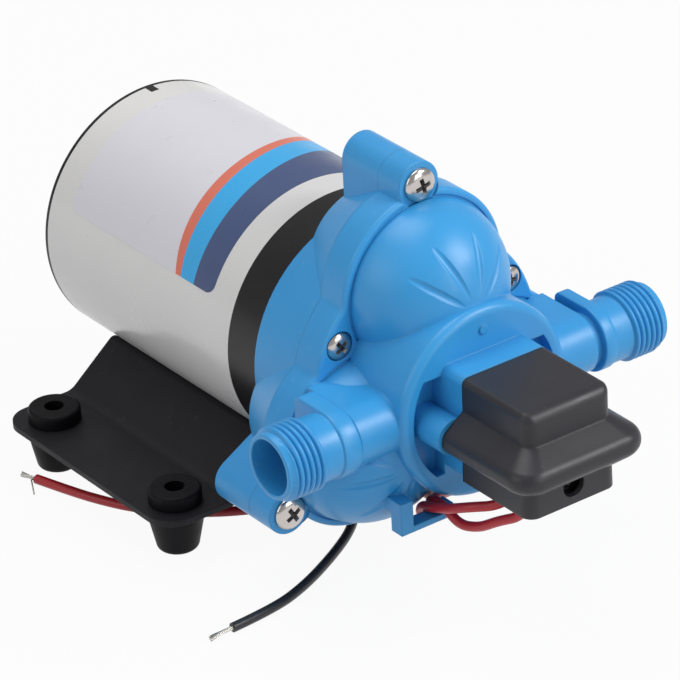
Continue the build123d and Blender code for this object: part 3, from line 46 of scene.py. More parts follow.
axisZ = 55 * mm  # height of the motor axis
canFrontY = -34.2 * mm  # joint between can and front bell
print("frame loaded:", len(nodes), "nodes")


def stationY(station):
    # a station is millimetres forward from the joint between can and bell
    return canFrontY - station * mm


def srgb(*levels):
    # screen colour 0..255 to the linear colour that the sockets take
    shares = [level / 255 for level in levels]
    linear = [share / 12.92 if share <= 0.04045 else ((share + 0.055) / 1.055) ** 2.4 for share in shares]
    return (*linear, 1.0)


# camera, at the viewpoint of the picture
cameraView = {
    "azimuth": 35.378, "elevation": 28.593, "roll": -2.867, "distance": 1.33795, "focalPixels": 4805.7,
    "imageSize": 680, "centrePixel": (339.73, 314.14), "sensorWidth": 36, "clip": (0.05, 50),
}


def makeCamera(view):
    turn, rise, tilt = (math.radians(angle) for angle in (-view["azimuth"], view["elevation"], view["roll"]))
    back = Vector((math.sin(turn) * math.cos(rise), -math.cos(turn) * math.cos(rise), math.sin(rise)))
    level = Vector((math.cos(turn), math.sin(turn), 0))
    upright = back.cross(level).normalized()
    right = level * math.cos(tilt) + upright * math.sin(tilt)
    up = upright * math.cos(tilt) - level * math.sin(tilt)
    aside, below = ((middle - view["imageSize"] / 2) / view["focalPixels"] * view["distance"]
                    for middle in view["centrePixel"])
    data = bpy.data.cameras.new("pumpCamera")
    data.sensor_width = view["sensorWidth"]
    data.lens = view["sensorWidth"] * view["focalPixels"] / view["imageSize"]
    data.clip_start, data.clip_end = view["clip"]
    camera = bpy.data.objects.new("pumpCamera", data)
    bpy.context.scene.collection.objects.link(camera)
    place = Vector((0, canFrontY, axisZ)) + back * view["distance"] - right * aside + up * below
    camera.matrix_world = Matrix((
        (right.x, up.x, back.x, place.x), (right.y, up.y, back.y, place.y),
        (right.z, up.z, back.z, place.z), (0, 0, 0, 1)))
    bpy.context.scene.camera = camera


makeCamera(cameraView)
print("camera placed")


# helpers for node trees
def emptyTree(owner):
    owner.use_nodes = True
    owner.node_tree.nodes.clear()
    return owner.node_tree


def newMaterial(name):
    material = bpy.data.materials.new(name)
    tree = emptyTree(material)
    shader = tree.nodes.new("ShaderNodeBsdfPrincipled")
    output = tree.nodes.new("ShaderNodeOutputMaterial")
    tree.links.new(shader.outputs[0], output.inputs[0])
    return material, tree, shader


def findNode(material, kind):
    return next(node for node in material.node_tree.nodes if node.type == kind)


def feed(tree, socket, setting):
    # a socket takes another node's output or a plain value
    if isinstance(setting, bpy.types.NodeSocket):
        tree.links.new(setting, socket)
    else:
        socket.default_value = setting


def noiseNode(tree, place, scale, detail, rough):
    node = tree.nodes.new("ShaderNodeTexNoise")
    for label, setting in (("Vector", place), ("Scale", scale), ("Detail", detail), ("Roughness", rough)):
        feed(tree, node.inputs[label], setting)
    return node.outputs["Fac"]


def rangeNode(tree, value, given, wanted=(0.0, 1.0)):
    node = tree.nodes.new("ShaderNodeMapRange")
    labels = ("Value", "From Min", "From Max", "To Min", "To Max")
    for label, setting in zip(labels, (value, *given, *wanted)):
        feed(tree, node.inputs[label], setting)
    return node.outputs["Result"]


def mathNode(tree, operation, first, second=0.0):
    node = tree.nodes.new("ShaderNodeMath")
    node.operation = operation
    feed(tree, node.inputs[0], first)
    feed(tree, node.inputs[1], second)
    return node.outputs[0]


def mixColour(tree, share, first, second):
    node = tree.nodes.new("ShaderNodeMix")
    node.data_type = "RGBA"
    for index, setting in ((0, share), (6, first), (7, second)):  # the node's sockets for colours
        feed(tree, node.inputs[index], setting)
    return node.outputs[2]


def newGroup(name, inputs, outputs):
    group = bpy.data.node_groups.new(name, "ShaderNodeTree")
    for label, kind, value in inputs:
        socket = group.interface.new_socket(name=label, in_out="INPUT", socket_type="NodeSocket" + kind)
        socket.default_value = value
    for label, kind in outputs:
        group.interface.new_socket(name=label, in_out="OUTPUT", socket_type="NodeSocket" + kind)
    return group, group.nodes.new("NodeGroupInput").outputs, group.nodes.new("NodeGroupOutput").inputs


def placeGroup(tree, group, settings):
    node = tree.nodes.new("ShaderNodeGroup")
    node.node_tree = group
    for label, setting in settings.items():
        feed(tree, node.inputs[label], setting)
    return node


# skins: each noise is given by scale, detail and roughness
skinPattern = {
    "cloud": (26.0, 3.0, 0.55), "cloudRange": (0.35, 0.7), "specks": (420.0, 2.0, 0.5),
    "speckRange": (0.68, 0.76), "smear": (60.0, 4.0, 0.6), "smearRange": (0.3, 0.7),
    "grainDetail": 2.0, "grainRoughness": 0.6, "grainDepth": 0.04 * mm, "edgeSamples": 6,
}


def buildSkinGroup(pattern):
    # moulded, painted or rubber skin: cloudy tone, fine grain and specks of dust
    group, given, result = newGroup(
        "skinVariation",
        (("Colour", "Color", (0.5, 0.5, 0.5, 1)), ("Shade", "Color", (0.4, 0.4, 0.4, 1)),
         ("Dust", "Color", (0.6, 0.6, 0.6, 1)), ("Cloud", "Float", 0.5), ("Dust Amount", "Float", 0.1),
         ("Grain Scale", "Float", 900.0), ("Smooth", "Float", 0.3), ("Rough", "Float", 0.5)),
        (("Colour", "Color"), ("Roughness", "Float"), ("Height", "Float")))
    place = group.nodes.new("ShaderNodeTexCoord").outputs["Object"]
    cloud = rangeNode(group, noiseNode(group, place, *pattern["cloud"]), pattern["cloudRange"])
    specks = rangeNode(group, noiseNode(group, place, *pattern["specks"]), pattern["speckRange"])
    smear = noiseNode(group, place, *pattern["smear"])
    cloudShare = mathNode(group, "MULTIPLY", cloud, given["Cloud"])
    speckShare = mathNode(group, "MULTIPLY", specks, given["Dust Amount"])
    tone = mixColour(group, cloudShare, given["Colour"], given["Shade"])
    tone = mixColour(group, speckShare, tone, given["Dust"])
    gloss = rangeNode(group, smear, pattern["smearRange"], (given["Smooth"], given["Rough"]))
    grain = noiseNode(group, place, given["Grain Scale"], pattern["grainDetail"], pattern["grainRoughness"])
    for label, value in (("Colour", tone), ("Roughness", gloss), ("Height", grain)):
        feed(group, result[label], value)
    return group


skinGroup = buildSkinGroup(skinPattern)


def skinMaterial(name, colour, shade, dust, cloud, dustAmount, grainScale, smooth, rough, bump,
                 metal=0.0, coat=0.0, specular=0.5, edge=0.0):
    material, tree, shader = newMaterial(name)
    skin = placeGroup(tree, skinGroup, {
        "Colour": colour, "Shade": shade, "Dust": dust, "Cloud": cloud, "Dust Amount": dustAmount,
        "Grain Scale": grainScale, "Smooth": smooth, "Rough": rough})
    relief = tree.nodes.new("ShaderNodeBump")
    relief.inputs["Strength"].default_value = bump
    relief.inputs["Distance"].default_value = skinPattern["grainDepth"]
    feed(tree, relief.inputs["Height"], skin.outputs["Height"])
    if edge > 0:
        # edges of moulded and pressed pieces are never quite sharp
        soft = tree.nodes.new("ShaderNodeBevel")
        soft.samples = skinPattern["edgeSamples"]
        soft.inputs["Radius"].default_value = edge
        feed(tree, relief.inputs["Normal"], soft.outputs[0])
    for label, setting in (
            ("Base Color", skin.outputs["Colour"]), ("Roughness", skin.outputs["Roughness"]),
            ("Normal", relief.outputs[0]), ("Metallic", metal), ("Coat Weight", coat),
            ("Specular IOR Level", specular)):
        feed(tree, shader.inputs[label], setting)
    return material


bluePlastic = skinMaterial(
    "blueMouldedPlastic", srgb(53, 152, 214), srgb(45, 138, 201), srgb(150, 195, 235), cloud=0.5,
    dustAmount=0.1, grainScale=1400.0, smooth=0.3, rough=0.42, bump=0.12, edge=0.6 * mm)
blackPlate = skinMaterial(
    "blackPowderCoat", srgb(27, 26, 31), srgb(22, 21, 25), srgb(80, 80, 86), cloud=0.6, dustAmount=0.15,
    grainScale=2600.0, smooth=0.4, rough=0.55, bump=0.3, specular=0.22, edge=0.4 * mm)
blackSteel = skinMaterial(
    "blackPaintedSteel", srgb(30, 29, 31), srgb(24, 23, 25), srgb(90, 90, 92), cloud=0.6, dustAmount=0.12,
    grainScale=1500.0, smooth=0.26, rough=0.4, bump=0.1, specular=0.3)
footRubber = skinMaterial(
    "footRubber", srgb(15, 14, 18), srgb(11, 10, 13), srgb(75, 75, 80), cloud=0.6, dustAmount=0.12,
    grainScale=1900.0, smooth=0.4, rough=0.56, bump=0.15, specular=0.12)
bootRubber = skinMaterial(
    "bootRubber", srgb(44, 43, 48), srgb(38, 37, 42), srgb(96, 96, 102), cloud=0.7, dustAmount=0.2,
    grainScale=1700.0, smooth=0.34, rough=0.46, bump=0.25, specular=0.42, edge=0.8 * mm)
softRubber = skinMaterial(
    "softBlackRubber", srgb(36, 36, 38), srgb(28, 28, 30), srgb(90, 90, 92), cloud=0.6, dustAmount=0.1,
    grainScale=1900.0, smooth=0.5, rough=0.62, bump=0.2)
canSteel = skinMaterial(
    "platedCan", srgb(214, 213, 212), srgb(205, 204, 204), srgb(175, 175, 177), cloud=0.4, dustAmount=0.08,
    grainScale=2400.0, smooth=0.26, rough=0.36, bump=0.05, coat=0.2)
blackNylon = skinMaterial(
    "blackNylon", srgb(44, 44, 47), srgb(36, 36, 39), srgb(95, 95, 98), cloud=0.6, dustAmount=0.1,
    grainScale=1500.0, smooth=0.36, rough=0.5, bump=0.15)
whiteNylon = skinMaterial(
    "whiteNylon", srgb(226, 226, 220), srgb(212, 212, 204), srgb(190, 190, 184), cloud=0.6,
    dustAmount=0.08, grainScale=1400.0, smooth=0.36, rough=0.5, bump=0.1)
brownNylon = skinMaterial(
    "glassFilledNylon", srgb(92, 64, 48), srgb(78, 54, 42), srgb(130, 110, 96), cloud=0.8, dustAmount=0.25,
    grainScale=1200.0, smooth=0.42, rough=0.56, bump=0.2)
ferrite = skinMaterial(
    "ferrite", srgb(66, 66, 70), srgb(54, 54, 58), srgb(110, 110, 112), cloud=0.9, dustAmount=0.2,
    grainScale=1100.0, smooth=0.6, rough=0.8, bump=0.3)
carbon = skinMaterial(
    "pressedCarbon", srgb(44, 44, 46), srgb(34, 34, 36), srgb(90, 90, 94), cloud=0.9, dustAmount=0.3,
    grainScale=1600.0, smooth=0.36, rough=0.5, bump=0.2)
redWire = skinMaterial(
    "redInsulation", srgb(186, 38, 48), srgb(164, 30, 40), srgb(214, 120, 120), cloud=0.6, dustAmount=0.1,
    grainScale=1200.0, smooth=0.3, rough=0.42, bump=0.12)
blackWire = skinMaterial(
    "blackInsulation", srgb(34, 35, 40), srgb(26, 27, 31), srgb(96, 98, 104), cloud=0.6, dustAmount=0.14,
    grainScale=1200.0, smooth=0.28, rough=0.4, bump=0.12)
polishedSteel = skinMaterial(
    "polishedStainless", srgb(206, 200, 196), srgb(186, 181, 178), srgb(150, 148, 146), cloud=0.6,
    dustAmount=0.1, grainScale=1500.0, smooth=0.14, rough=0.26, bump=0.05, metal=1.0)
brushedSteel = skinMaterial(
    "turnedSteel", srgb(180, 180, 182), srgb(150, 150, 154), srgb(120, 120, 122), cloud=0.6,
    dustAmount=0.1, grainScale=1900.0, smooth=0.28, rough=0.42, bump=0.1, metal=1.0)
bronze = skinMaterial(
    "sinteredBronze", srgb(176, 138, 88), srgb(150, 114, 70), srgb(110, 84, 56), cloud=0.8,
    dustAmount=0.4, grainScale=1900.0, smooth=0.4, rough=0.55, bump=0.25, metal=1.0)
brass = skinMaterial(
    "brightBrass", srgb(208, 178, 108), srgb(186, 154, 88), srgb(150, 124, 74), cloud=0.6,
    dustAmount=0.1, grainScale=1700.0, smooth=0.22, rough=0.36, bump=0.08, metal=1.0)
tinned = skinMaterial(
    "tinnedStrands", srgb(200, 198, 192), srgb(150, 148, 142), srgb(110, 108, 104), cloud=0.7,
    dustAmount=0.2, grainScale=2600.0, smooth=0.25, rough=0.4, bump=0.3, metal=1.0)


# sheets, turns and coils: a pattern of bands over a skin
bandRelief = {"grainShare": 0.2, "strength": 0.8}


def buildBandGroup():
    # bands across a direction, or round the motor axis where turns are given: 1 in the groove
    group, given, result = newGroup(
        "bandPattern",
        (("Direction", "Vector", (0.0, 1.0, 0.0)), ("Bands", "Float", 500.0), ("Turns", "Float", 0.0),
         ("Groove", "Float", 0.3)),
        (("Share", "Float"), ("Height", "Float")))
    place = group.nodes.new("ShaderNodeTexCoord").outputs["Object"]
    along = group.nodes.new("ShaderNodeVectorMath")
    along.operation = "DOT_PRODUCT"
    feed(group, along.inputs[0], place)
    feed(group, along.inputs[1], given["Direction"])
    split = group.nodes.new("ShaderNodeSeparateXYZ")
    feed(group, split.inputs[0], place)
    rise = mathNode(group, "SUBTRACT", split.outputs["Z"], axisZ)
    around = mathNode(group, "MULTIPLY", mathNode(group, "ARCTAN2", split.outputs["X"], rise), given["Turns"])
    bands = mathNode(group, "MULTIPLY", along.outputs["Value"], given["Bands"])
    phase = mathNode(group, "ADD", mathNode(group, "MULTIPLY", bands, fullTurn), around)
    share = rangeNode(group, mathNode(group, "SINE", phase), (given["Groove"], 1.0))
    feed(group, result["Share"], share)
    feed(group, result["Height"], mathNode(group, "SUBTRACT", 1.0, share))
    return group


bandGroup = buildBandGroup()


def bandOver(material, direction, bands, groove, dark, depth, turns=0.0):
    # lays the bands over a finished skin: tone and relief
    tree = material.node_tree
    skin, relief, shader = (findNode(material, kind) for kind in ("GROUP", "BUMP", "BSDF_PRINCIPLED"))
    band = placeGroup(tree, bandGroup, {
        "Direction": direction, "Bands": bands, "Turns": turns, "Groove": groove})
    tone = mixColour(tree, band.outputs["Share"], skin.outputs["Colour"], dark)
    feed(tree, shader.inputs["Base Color"], tone)
    grain = mathNode(tree, "MULTIPLY", skin.outputs["Height"], bandRelief["grainShare"])
    feed(tree, relief.inputs["Height"], mathNode(tree, "ADD", grain, band.outputs["Height"]))
    relief.inputs["Strength"].default_value = bandRelief["strength"]
    relief.inputs["Distance"].default_value = depth
    return material


def copperSkin(name, colour, shade):
    return skinMaterial(name, colour, shade, srgb(120, 60, 36), cloud=0.8, dustAmount=0.2,
                        grainScale=1500.0, smooth=0.25, rough=0.4, bump=0.2, metal=1.0)


def coilMaterial(name, direction):
    wire = skinMaterial(name, srgb(176, 176, 178), srgb(140, 140, 144), srgb(120, 120, 122), cloud=0.6,
                        dustAmount=0.1, grainScale=1900.0, smooth=0.24, rough=0.36, bump=0.1, metal=1.0)
    return bandOver(wire, direction, bands=620.0, groove=0.1, dark=srgb(34, 34, 36), depth=0.5 * mm)


coreSteel = skinMaterial(
    "laminatedCore", srgb(128, 128, 134), srgb(98, 98, 104), srgb(160, 150, 140), cloud=0.8,
    dustAmount=0.2, grainScale=1500.0, smooth=0.4, rough=0.55, bump=0.2, metal=1.0)
laminated = bandOver(
    coreSteel, (0.0, 1.0, 0.0), bands=900.0, groove=0.5, dark=srgb(58, 56, 56), depth=0.15 * mm)
woundCopper = bandOver(
    copperSkin("woundCopper", srgb(196, 110, 62), srgb(160, 80, 44)), (0.25, 0.6, 0.25), bands=1100.0,
    groove=0.0, dark=srgb(82, 34, 20), depth=0.3 * mm)
barCopper = bandOver(
    copperSkin("commutatorCopper", srgb(206, 134, 88), srgb(178, 104, 62)), (0.0, 0.0, 0.0), bands=0.0,
    turns=12.0, groove=0.9, dark=srgb(40, 30, 26), depth=0.3 * mm)
coilAcross = coilMaterial("coilSpringAcross", (1.0, 0.0, 0.0))
coilAlong = coilMaterial("coilSpringAlong", (0.0, 1.0, 0.0))


# slow waves of a moulded skin, as sink marks and soft dents leave them: scale and amount for each
waveSettings = {"boot": (75.0, 26.0), "blue": (48.0, 30.0), "plate": (40.0, 14.0), "detail": 1.0,
                "roughness": 0.4}


def unevenOver(material, scale, amount):
    tree = material.node_tree
    skin, relief = findNode(material, "GROUP"), findNode(material, "BUMP")
    place = tree.nodes.new("ShaderNodeTexCoord").outputs["Object"]
    slow = noiseNode(tree, place, scale, waveSettings["detail"], waveSettings["roughness"])
    wave = mathNode(tree, "MULTIPLY", slow, amount)
    feed(tree, relief.inputs["Height"], mathNode(tree, "ADD", skin.outputs["Height"], wave))


unevenOver(bootRubber, *waveSettings["boot"])
unevenOver(bluePlastic, *waveSettings["blue"])
unevenOver(blackPlate, *waveSettings["plate"])


def paintRecessShade(material, dark, metalLeft):
    # painted shade: the sunk cross of a screw head gets a dark colour and little metal, standing in for the
    # shade it lies in
    tree = material.node_tree
    skin, shader = findNode(material, "GROUP"), findNode(material, "BSDF_PRINCIPLED")
    shade = tree.nodes.new("ShaderNodeAttribute")
    shade.attribute_name = "recess"
    tone = mixColour(tree, shade.outputs["Fac"], skin.outputs["Colour"], dark)
    feed(tree, shader.inputs["Base Color"], tone)
    feed(tree, shader.inputs["Metallic"], rangeNode(tree, shade.outputs["Fac"], (0.0, 1.0), (1.0, metalLeft)))


# nearly black and hardly metal: painted shade for the recesses of the screws
paintRecessShade(polishedSteel, dark=srgb(26, 24, 23), metalLeft=0.1)
print("skins made:", len(bpy.data.materials), "materials so far")


# printed label: paper with three stripes, each in front of the one before
labelPrint = {
    "paper": srgb(211, 210, 217), "orange": srgb(214, 112, 90), "lightBlue": srgb(48, 166, 226),
    "navy": srgb(62, 79, 120),
    # level, slope, bow and twist of each edge in millimetres, the turn going from -1 to 1 over the label
    "orangeEdge": (35.23, -8.73, 11.23, -10.25), "blueEdge": (31.82, -10.14, 10.2, -6.8),
    "navyEdge": (23.3, -10.31, 10.66, -4.72), "edgeBlur": 0.05,
    # scale, detail and roughness of each noise
    "cloud": (40.0, 3.0, 0.6), "cloudRange": (0.35, 0.75), "cloudMost": 0.05,
    "cloudTone": srgb(150, 150, 160), "smear": (120.0, 3.0, 0.6), "smearRange": (0.3, 0.7),
    "gloss": (0.26, 0.4), "grain": (700.0, 2.0, 0.5), "grainStrength": 0.06, "grainDepth": 0.04 * mm,
}


def buildStripeGroup(blur):
    # 1 where the point lies in front of an edge that bends with the turn round the can
    group, given, result = newGroup(
        "labelStripeEdge",
        (("Turn", "Float", 0.0), ("Along", "Float", 0.0), ("Level", "Float", 30.0), ("Slope", "Float", 0.0),
         ("Bow", "Float", 0.0), ("Twist", "Float", 0.0)),
        (("Mask", "Float"),))
    edge = mathNode(group, "MULTIPLY", given["Twist"], given["Turn"])
    for label in ("Bow", "Slope"):
        edge = mathNode(group, "ADD", edge, given[label])
        edge = mathNode(group, "MULTIPLY", edge, given["Turn"])
    edge = mathNode(group, "ADD", edge, given["Level"])
    ahead = mathNode(group, "SUBTRACT", edge, given["Along"])
    feed(group, result["Mask"], rangeNode(group, ahead, (-blur, blur)))
    return group


def labelMaterial(settings, front, height):
    material, tree, shader = newMaterial("printedLabel")
    split = tree.nodes.new("ShaderNodeSeparateXYZ")
    feed(tree, split.inputs[0], tree.nodes.new("ShaderNodeUVMap").outputs[0])
    turn = rangeNode(tree, split.outputs["X"], (0.0, 1.0), (-1.0, 1.0))
    along = rangeNode(tree, split.outputs["Y"], (0.0, 1.0), (front, front + height))
    stripeGroup = buildStripeGroup(settings["edgeBlur"])
    tone = settings["paper"]
    for edgeName, colourName in (("orangeEdge", "orange"), ("blueEdge", "lightBlue"), ("navyEdge", "navy")):
        level, slope, bow, twist = settings[edgeName]
        edge = placeGroup(tree, stripeGroup, {
            "Turn": turn, "Along": along, "Level": level, "Slope": slope, "Bow": bow, "Twist": twist})
        tone = mixColour(tree, edge.outputs["Mask"], tone, settings[colourName])
    # faint print variation, handling marks and grain
    spot = tree.nodes.new("ShaderNodeTexCoord").outputs["Object"]
    cloud = rangeNode(tree, noiseNode(tree, spot, *settings["cloud"]), settings["cloudRange"],
                      (0.0, settings["cloudMost"]))
    smear = noiseNode(tree, spot, *settings["smear"])
    relief = tree.nodes.new("ShaderNodeBump")
    relief.inputs["Strength"].default_value = settings["grainStrength"]
    relief.inputs["Distance"].default_value = settings["grainDepth"]
    feed(tree, relief.inputs["Height"], noiseNode(tree, spot, *settings["grain"]))
    feed(tree, shader.inputs["Base Color"], mixColour(tree, cloud, tone, settings["cloudTone"]))
    feed(tree, shader.inputs["Roughness"], rangeNode(tree, smear, settings["smearRange"], settings["gloss"]))
    feed(tree, shader.inputs["Normal"], relief.outputs[0])
    return material


nodeFinish = {
    "base_plate": blackPlate, "base_screws": brushedSteel, "foot_front_left": footRubber,
    "foot_front_right": footRubber, "foot_rear_left": footRubber, "foot_rear_right": footRubber,
    "motor_can": canSteel, "rear_end_cap": blackSteel, "front_end_bell": blackSteel,
    "motor_magnets": ferrite, "brush_plate": brownNylon, "carbon_brushes": carbon,
    "brush_springs": coilAcross, "rear_bearing": bronze, "front_bearing": brushedSteel,
    "lead_grommet": softRubber, "drive_housing": bluePlastic, "diaphragm": softRubber,
    "valve_plate": whiteNylon, "inlet_valves": softRubber, "outlet_valve": softRubber,
    "head_seal": softRubber, "pump_head": bluePlastic, "head_screws_long": polishedSteel,
    "head_screws_short": polishedSteel, "inlet_fitting": bluePlastic, "outlet_fitting": bluePlastic,
    "port_o_rings": softRubber, "inlet_screen": brushedSteel, "check_valve_spring": coilAcross,
    "switch_boot": bootRubber, "switch_body": blackNylon, "switch_screws": brushedSteel,
    "switch_diaphragm": softRubber, "switch_spring": coilAlong, "microswitch": blackNylon,
    "switch_terminals": brass, "switch_link_lead": redWire, "supply_lead_front": redWire,
    "red_lead": redWire, "black_lead": blackWire, "red_lead_end": tinned, "black_lead_end": tinned,
    "motor_shaft": brushedSteel, "armature_core": laminated, "armature_windings": woundCopper,
    "commutator": barCopper, "cam": brushedSteel, "cam_set_screw": brushedSteel,
    "cam_bearing": brushedSteel, "wobble_plate": brownNylon, "piston_caps": whiteNylon,
    "piston_screws": brushedSteel, "check_valve_poppet": whiteNylon, "switch_plunger": whiteNylon,
    "spring_nut": brass, "switch_adjuster": polishedSteel,
}


def dress(piece, material):
    piece.data.materials.clear()
    piece.data.materials.append(material)


for nodeName, finish in nodeFinish.items():
    dress(nodes[nodeName], finish)
print("nodes dressed:", len(nodeFinish))


# helpers for new pieces
portAxis = {"station": 55.4, "drop": 0.4}  # both ports lie on one line, a little under the motor axis
cutSlack = 0.0001 * mm
mergeSlack = 0.001 * mm


def frontPlace(x, rise, station):
    # local z points to the switch, local x to the right, local y up
    return Matrix(((1, 0, 0, x * mm), (0, 0, -1, stationY(station)), (0, 1, 0, axisZ + rise * mm),
                   (0, 0, 0, 1)))


def portPlace(side):
    # local z points out of the port on that side, local x to the rear
    return Matrix(((0, 0, side, 0), (1, 0, 0, stationY(portAxis["station"])),
                   (0, side, 0, axisZ - portAxis["drop"] * mm), (0, 0, 0, 1)))


def profileCorners(work, profile):
    # profile: (radius, distance along z) in millimetres
    return [work.verts.new((radius * mm, 0, along * mm)) for radius, along in profile]


def spinProfile(profile, steps, closed=False):
    # from axis to axis, or a closed ring
    work = bmesh.new()
    corners = profileCorners(work, profile)
    pairs = list(zip(corners, corners[1:]))
    if closed:
        pairs.append((corners[-1], corners[0]))
    lines = [work.edges.new(pair) for pair in pairs]
    bmesh.ops.spin(work, geom=corners + lines, cent=(0, 0, 0), axis=(0, 0, 1), angle=fullTurn,
                   steps=steps, use_merge=True)
    bmesh.ops.remove_doubles(work, verts=work.verts, dist=mergeSlack)
    bmesh.ops.recalc_face_normals(work, faces=work.faces)
    return work


def joinShape(target, source, place):
    # adds a finished shape to another one at its place
    data = bpy.data.meshes.new("part")
    source.to_mesh(data)
    source.free()
    data.transform(place)
    target.from_mesh(data)
    bpy.data.meshes.remove(data)


def movedCorners(geometry):
    return [item for item in geometry if isinstance(item, bmesh.types.BMVert)]


def drawIn(corner, radius, wanted):
    corner.co.x *= wanted / radius
    corner.co.y *= wanted / radius


def cutAcross(work, point, way):
    # a cut through the whole shape that keeps both sides
    bmesh.ops.bisect_plane(work, geom=work.verts[:] + work.edges[:] + work.faces[:], dist=cutSlack,
                           plane_co=point, plane_no=way)


def placePiece(name, data, material, body):
    piece = bpy.data.objects.new(name, data)
    bpy.context.scene.collection.objects.link(piece)
    dress(piece, material)
    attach(piece, body)
    return piece


def shapeToPiece(name, work, material, body, smoothAngle):
    # edges that bend more than the angle stay sharp
    for face in work.faces:
        face.smooth = True
    for edge in work.edges:
        if len(edge.link_faces) == 2:
            edge.smooth = edge.calc_face_angle(0) < math.radians(smoothAngle)
    data = bpy.data.meshes.new(name)
    work.to_mesh(data)
    work.free()
    return placePiece(name, data, material, body)


# one ridge of a thread: rise as a share of its depth, half width as a share of the pitch
ridgeShape = {"foot": 0.12, "footWidth": 0.49, "sunk": 0.06,
              "flank": ((0.0, 0.46), (0.35, 0.4), (0.75, 0.3), (0.95, 0.17), (1.0, 0.06))}


def threadRidge(root, crest, pitch, turns, stepsPerTurn, runOut):
    # a ridge with rounded crest, carried round the axis; its ends run out into the root
    depth, sunk = crest - root, ridgeShape["sunk"] * mm
    flank = ((-ridgeShape["foot"] / depth, ridgeShape["footWidth"]), *ridgeShape["flank"])
    outline = [(root + rise * depth, -share * pitch) for rise, share in flank]
    outline += [(root + rise * depth, share * pitch) for rise, share in reversed(flank)]
    work = bmesh.new()
    startFace = work.faces.new(profileCorners(work, outline))
    steps = round(turns * stepsPerTurn)
    bmesh.ops.spin(work, geom=[startFace], cent=(0, 0, 0), axis=(0, 0, 1),
                   dvec=(0, 0, pitch * mm / stepsPerTurn), angle=fullTurn * steps / stepsPerTurn,
                   steps=steps, use_merge=False)
    for corner in work.verts:
        radius = math.hypot(corner.co.x, corner.co.y)
        share = math.atan2(corner.co.y, corner.co.x) / fullTurn % 1.0
        turn = round(corner.co.z / (pitch * mm) - share) + share
        left = min(turn, turns - turn) / runOut
        if left < 1 and radius > root * mm:
            drawIn(corner, radius, root * mm - sunk + (radius - root * mm + sunk) * max(left, 0.0))
    bmesh.ops.recalc_face_normals(work, faces=work.faces)
    return work


# leads and their bare ends: routes in millimetres, as in the solids
leadSettings = {
    "diameter": 2.8 * mm, "smoothness": (12, 6),
    "redRoute": ((3.6, -63.0, 9.8), (3.8, -56.5, 7.2), (1.6, -48.5, 4.2), (-6.0, -41.5, 2.0),
                 (-18.0, -34.6, 1.45), (-32.0, -29.0, 1.45), (-44.6, -19.6, 1.45), (-54.3, -7.8, 1.45),
                 (-59.4, 2.2, 1.45), (-63.4, 13.0, 1.45), (-66.9, 25.0, 1.45)),
    "blackRoute": ((-1.9, -40.4, 20.5), (-1.9, -40.4, 14.0), (-2.6, -42.6, 9.4), (-5.4, -46.2, 5.2),
                   (-10.0, -51.2, 2.4), (-17.0, -57.6, 1.45), (-29.0, -65.0, 1.45), (-42.9, -72.0, 1.45),
                   (-56.2, -76.2, 1.45), (-70.9, -76.8, 1.45)),
    "redEnd": ((-66.9, 25.0, 1.45), (-68.0, 27.2, 1.6), (-69.1, 29.3, 2.0)),
    "blackEnd": ((-70.9, -76.8, 1.45), (-74.8, -76.7, 1.5), (-78.6, -77.4, 1.4)),
    "looseStrand": ((-66.9, 24.8, 1.5), (-68.6, 25.2, 2.2), (-69.9, 22.6, 1.9), (-71.6, 19.2, 0.7)),
    "strandDiameter": 0.46 * mm, "strandCount": 7, "strandSpread": 0.46, "strandTwist": 70.0,
    "strandFray": 0.12, "strandSmoothness": (8, 3),
}


def layLines(name, lines, thickness, smoothness, material):
    data = bpy.data.curves.new(name, "CURVE")
    data.dimensions = "3D"
    for line in lines:
        spline = data.splines.new("NURBS")
        spline.points.add(len(line) - 1)
        for point, place in zip(spline.points, line):
            point.co = (place[0] * mm, place[1] * mm, place[2] * mm, 1)
        spline.order_u = 3
        spline.use_endpoint_u = True
    data.resolution_u, data.bevel_resolution = smoothness
    data.bevel_depth = thickness / 2
    data.use_fill_caps = True
    return placePiece(name, data, material, "pump_body")


def layLead(name, routeName, material, settings):
    return layLines(name, [settings[routeName]], settings["diameter"], settings["smoothness"], material)


def layStrands(name, route, extra, settings):
    # one strand in the middle and the others laid round it in a slow twist
    along = (Vector(route[-1]) - Vector(route[0])).normalized()
    side = along.cross(Vector((0, 0, 1))).normalized()
    rise = side.cross(along)
    lines = []
    for strand in range(settings["strandCount"]):
        line = []
        for index, place in enumerate(route):
            around = 360 * strand / (settings["strandCount"] - 1) + settings["strandTwist"] * index
            angle = math.radians(around)
            fray = 1 + settings["strandFray"] * index * (strand % 3)
            spread = 0 if strand == 0 else settings["strandSpread"] * fray
            line.append(Vector(place) + (side * math.cos(angle) + rise * math.sin(angle)) * spread)
        lines.append(line)
    return layLines(name, lines + extra, settings["strandDiameter"], settings["strandSmoothness"], tinned)


redEnd = layStrands("redLeadEnd", leadSettings["redEnd"], [leadSettings["looseStrand"]], leadSettings)
blackEnd = layStrands("blackLeadEnd", leadSettings["blackEnd"], [], leadSettings)
redLead = layLead("redSupplyLead", "redRoute", redWire, leadSettings)
blackLead = layLead("blackSupplyLead", "blackRoute", blackWire, leadSettings)
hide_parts("red_lead_end")
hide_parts("black_lead_end")
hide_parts("red_lead")
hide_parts("black_lead")
print("leads laid")


